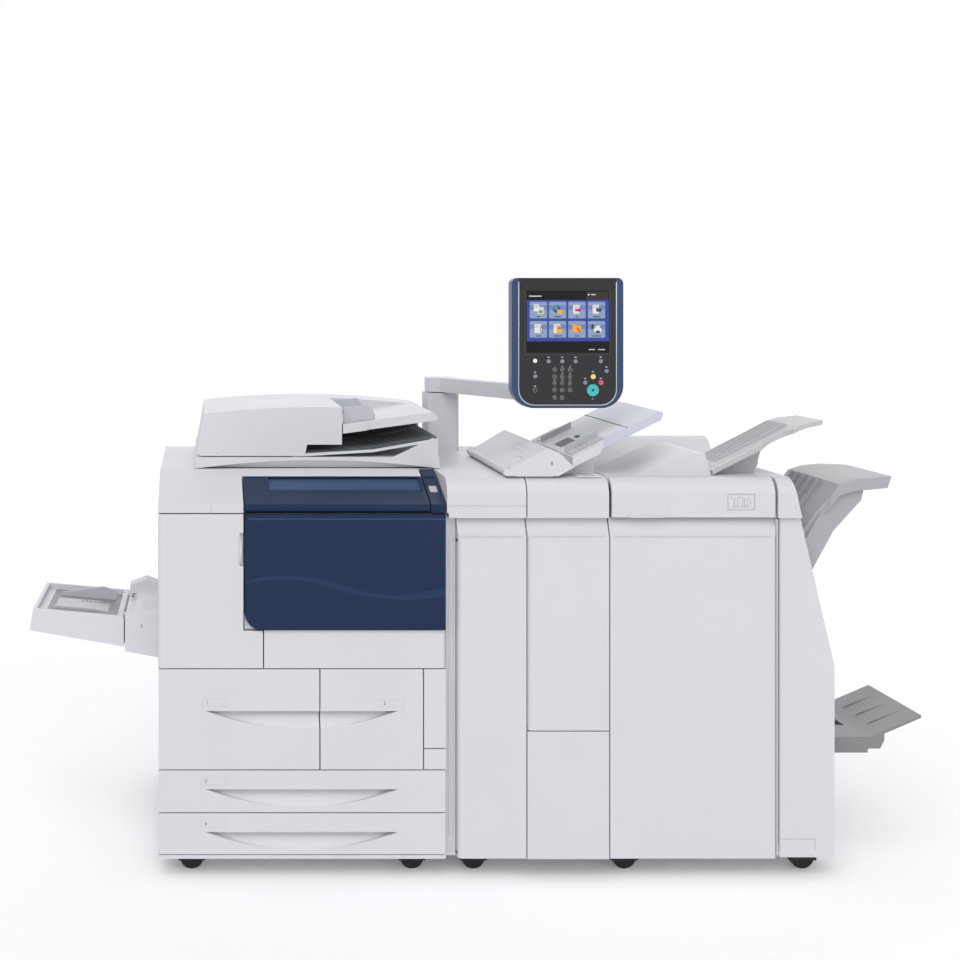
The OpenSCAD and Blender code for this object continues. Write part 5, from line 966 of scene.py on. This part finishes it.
def dressRear():
    back = plane((0, rear["plane"], 0), (-1, 0, 0), (0, 0, 1))
    sink, proud, line = rear["sink"], rear["proud"], rear["seamLine"]
    half, tall, radius = rear["louvre"]

    def louvres(u, v, side, rows, columns):
        middles = [(u + side * rear["columnPitch"] * c, v + rear["rowPitch"] * r)
                   for r in range(rows) for c in range(columns)]
        return [roundRect(a - half, b, a + half, b + tall, radius, 2) for a, b in middles]

    for name, node, *form in rear["louvres"]:
        trim(name, node, "shadowLine", louvres(*form), back, sink, proud)
    head, steps, lift = rear["screw"]
    for name, node, spots in rear["screws"]:
        heads = [disc(-x, z, head, steps) for x, heights in spots for z in heights]
        trim(name, node, "bright", heads, back, sink, lift)
    for name, node, lines in rear["seams"]:
        trim(name, node, "seam", [stroke(*ends, line) for ends in lines], back, sink, proud)
    trim("inletBody", "engine_covers", "black", [roundRect(*rear["inlet"], 3, 3)], back, sink, proud)
    count, u, v, wide, high, pitch, rise = rear["pins"]
    pins = [roundRect(u + pitch * i, v + rise * (i % 2), u + wide + pitch * i, v + high + rise * (i % 2), 0.4, 1)
            for i in range(count)]
    trim("inletPins", "engine_covers", "bright", pins, back, sink, rear["pinProud"])
    left = plane((0, 0, 0), (0, -1, 0), (0, 0, 1))
    louvreProud, seamProud = rear["sideProud"]
    trim("sideLouvres", "engine_covers", "shadowLine", louvres(*rear["sideLouvres"]), left, sink, louvreProud)
    seams = [stroke(*ends, line) for ends in rear["sideSeams"]]
    trim("sideSeams", "engine_covers", "seam", seams, left, sink, seamProud)
    right = plane((rear["flankX"], 0, 0), (0, 1, 0), (0, 0, 1))
    trim("flankSeam", "finisher_cabinet", "seam", [stroke(*rear["flankSeam"], line)], right, sink, seamProud)


dressRear()
print("sides ready")

# ---- numbers on the drawers, the tray and the inserter, with faint outlines of the drawers' label recesses painted as shade lines
marks = {
    "size": 13, "proud": 0.25, "window": (12, 62, 20), "windowDepth": (0.2, 0.5), "line": 0.8, "corner": 0.2,
    "places": (("drawerOneNumber", "1", (122.5, -0.05, 443), "drawer_1"),
               ("drawerTwoNumber", "2", (567, -0.05, 441), "drawer_2"),
               ("drawerThreeNumber", "3", (120, -0.05, 246), "drawer_3"),
               ("drawerFourNumber", "4", (119, -0.05, 139), "drawer_4"),
               ("trayFiveNumber", "5", (-45, 99.95, 610), "bypass_base"),
               ("inserterNumber", "8", (990, 19.95, 1037), "inserter_hood"))}


def drawMarks():
    line, (left, wide, tall), (fore, back) = marks["line"], marks["window"], marks["windowDepth"]
    for name, digit, place, node in marks["places"]:
        number = lettered(name, digit, marks["size"], place, marks["proud"])
        dress(number, bodyOf[node], slotOf[node], "ink")
        if node.startswith("drawer"):
            x, y, z = place
            u0, v0 = x - left, z - tall / 2
            sides = ((u0, v0, u0 + wide, v0 + line), (u0, v0 + tall - line, u0 + wide, v0 + tall),
                     (u0, v0, u0 + line, v0 + tall), (u0 + wide - line, v0, u0 + wide, v0 + tall))
            # painted shade: a faint grey outline where the label recess's edge is
            window = joined(name + "Window", [prism("side", roundRect(*side, marks["corner"], 1), y - fore, y + back)
                                              for side in sides])
            dress(window, bodyOf[node], slotOf[node], "window")


drawMarks()
print("marks ready")
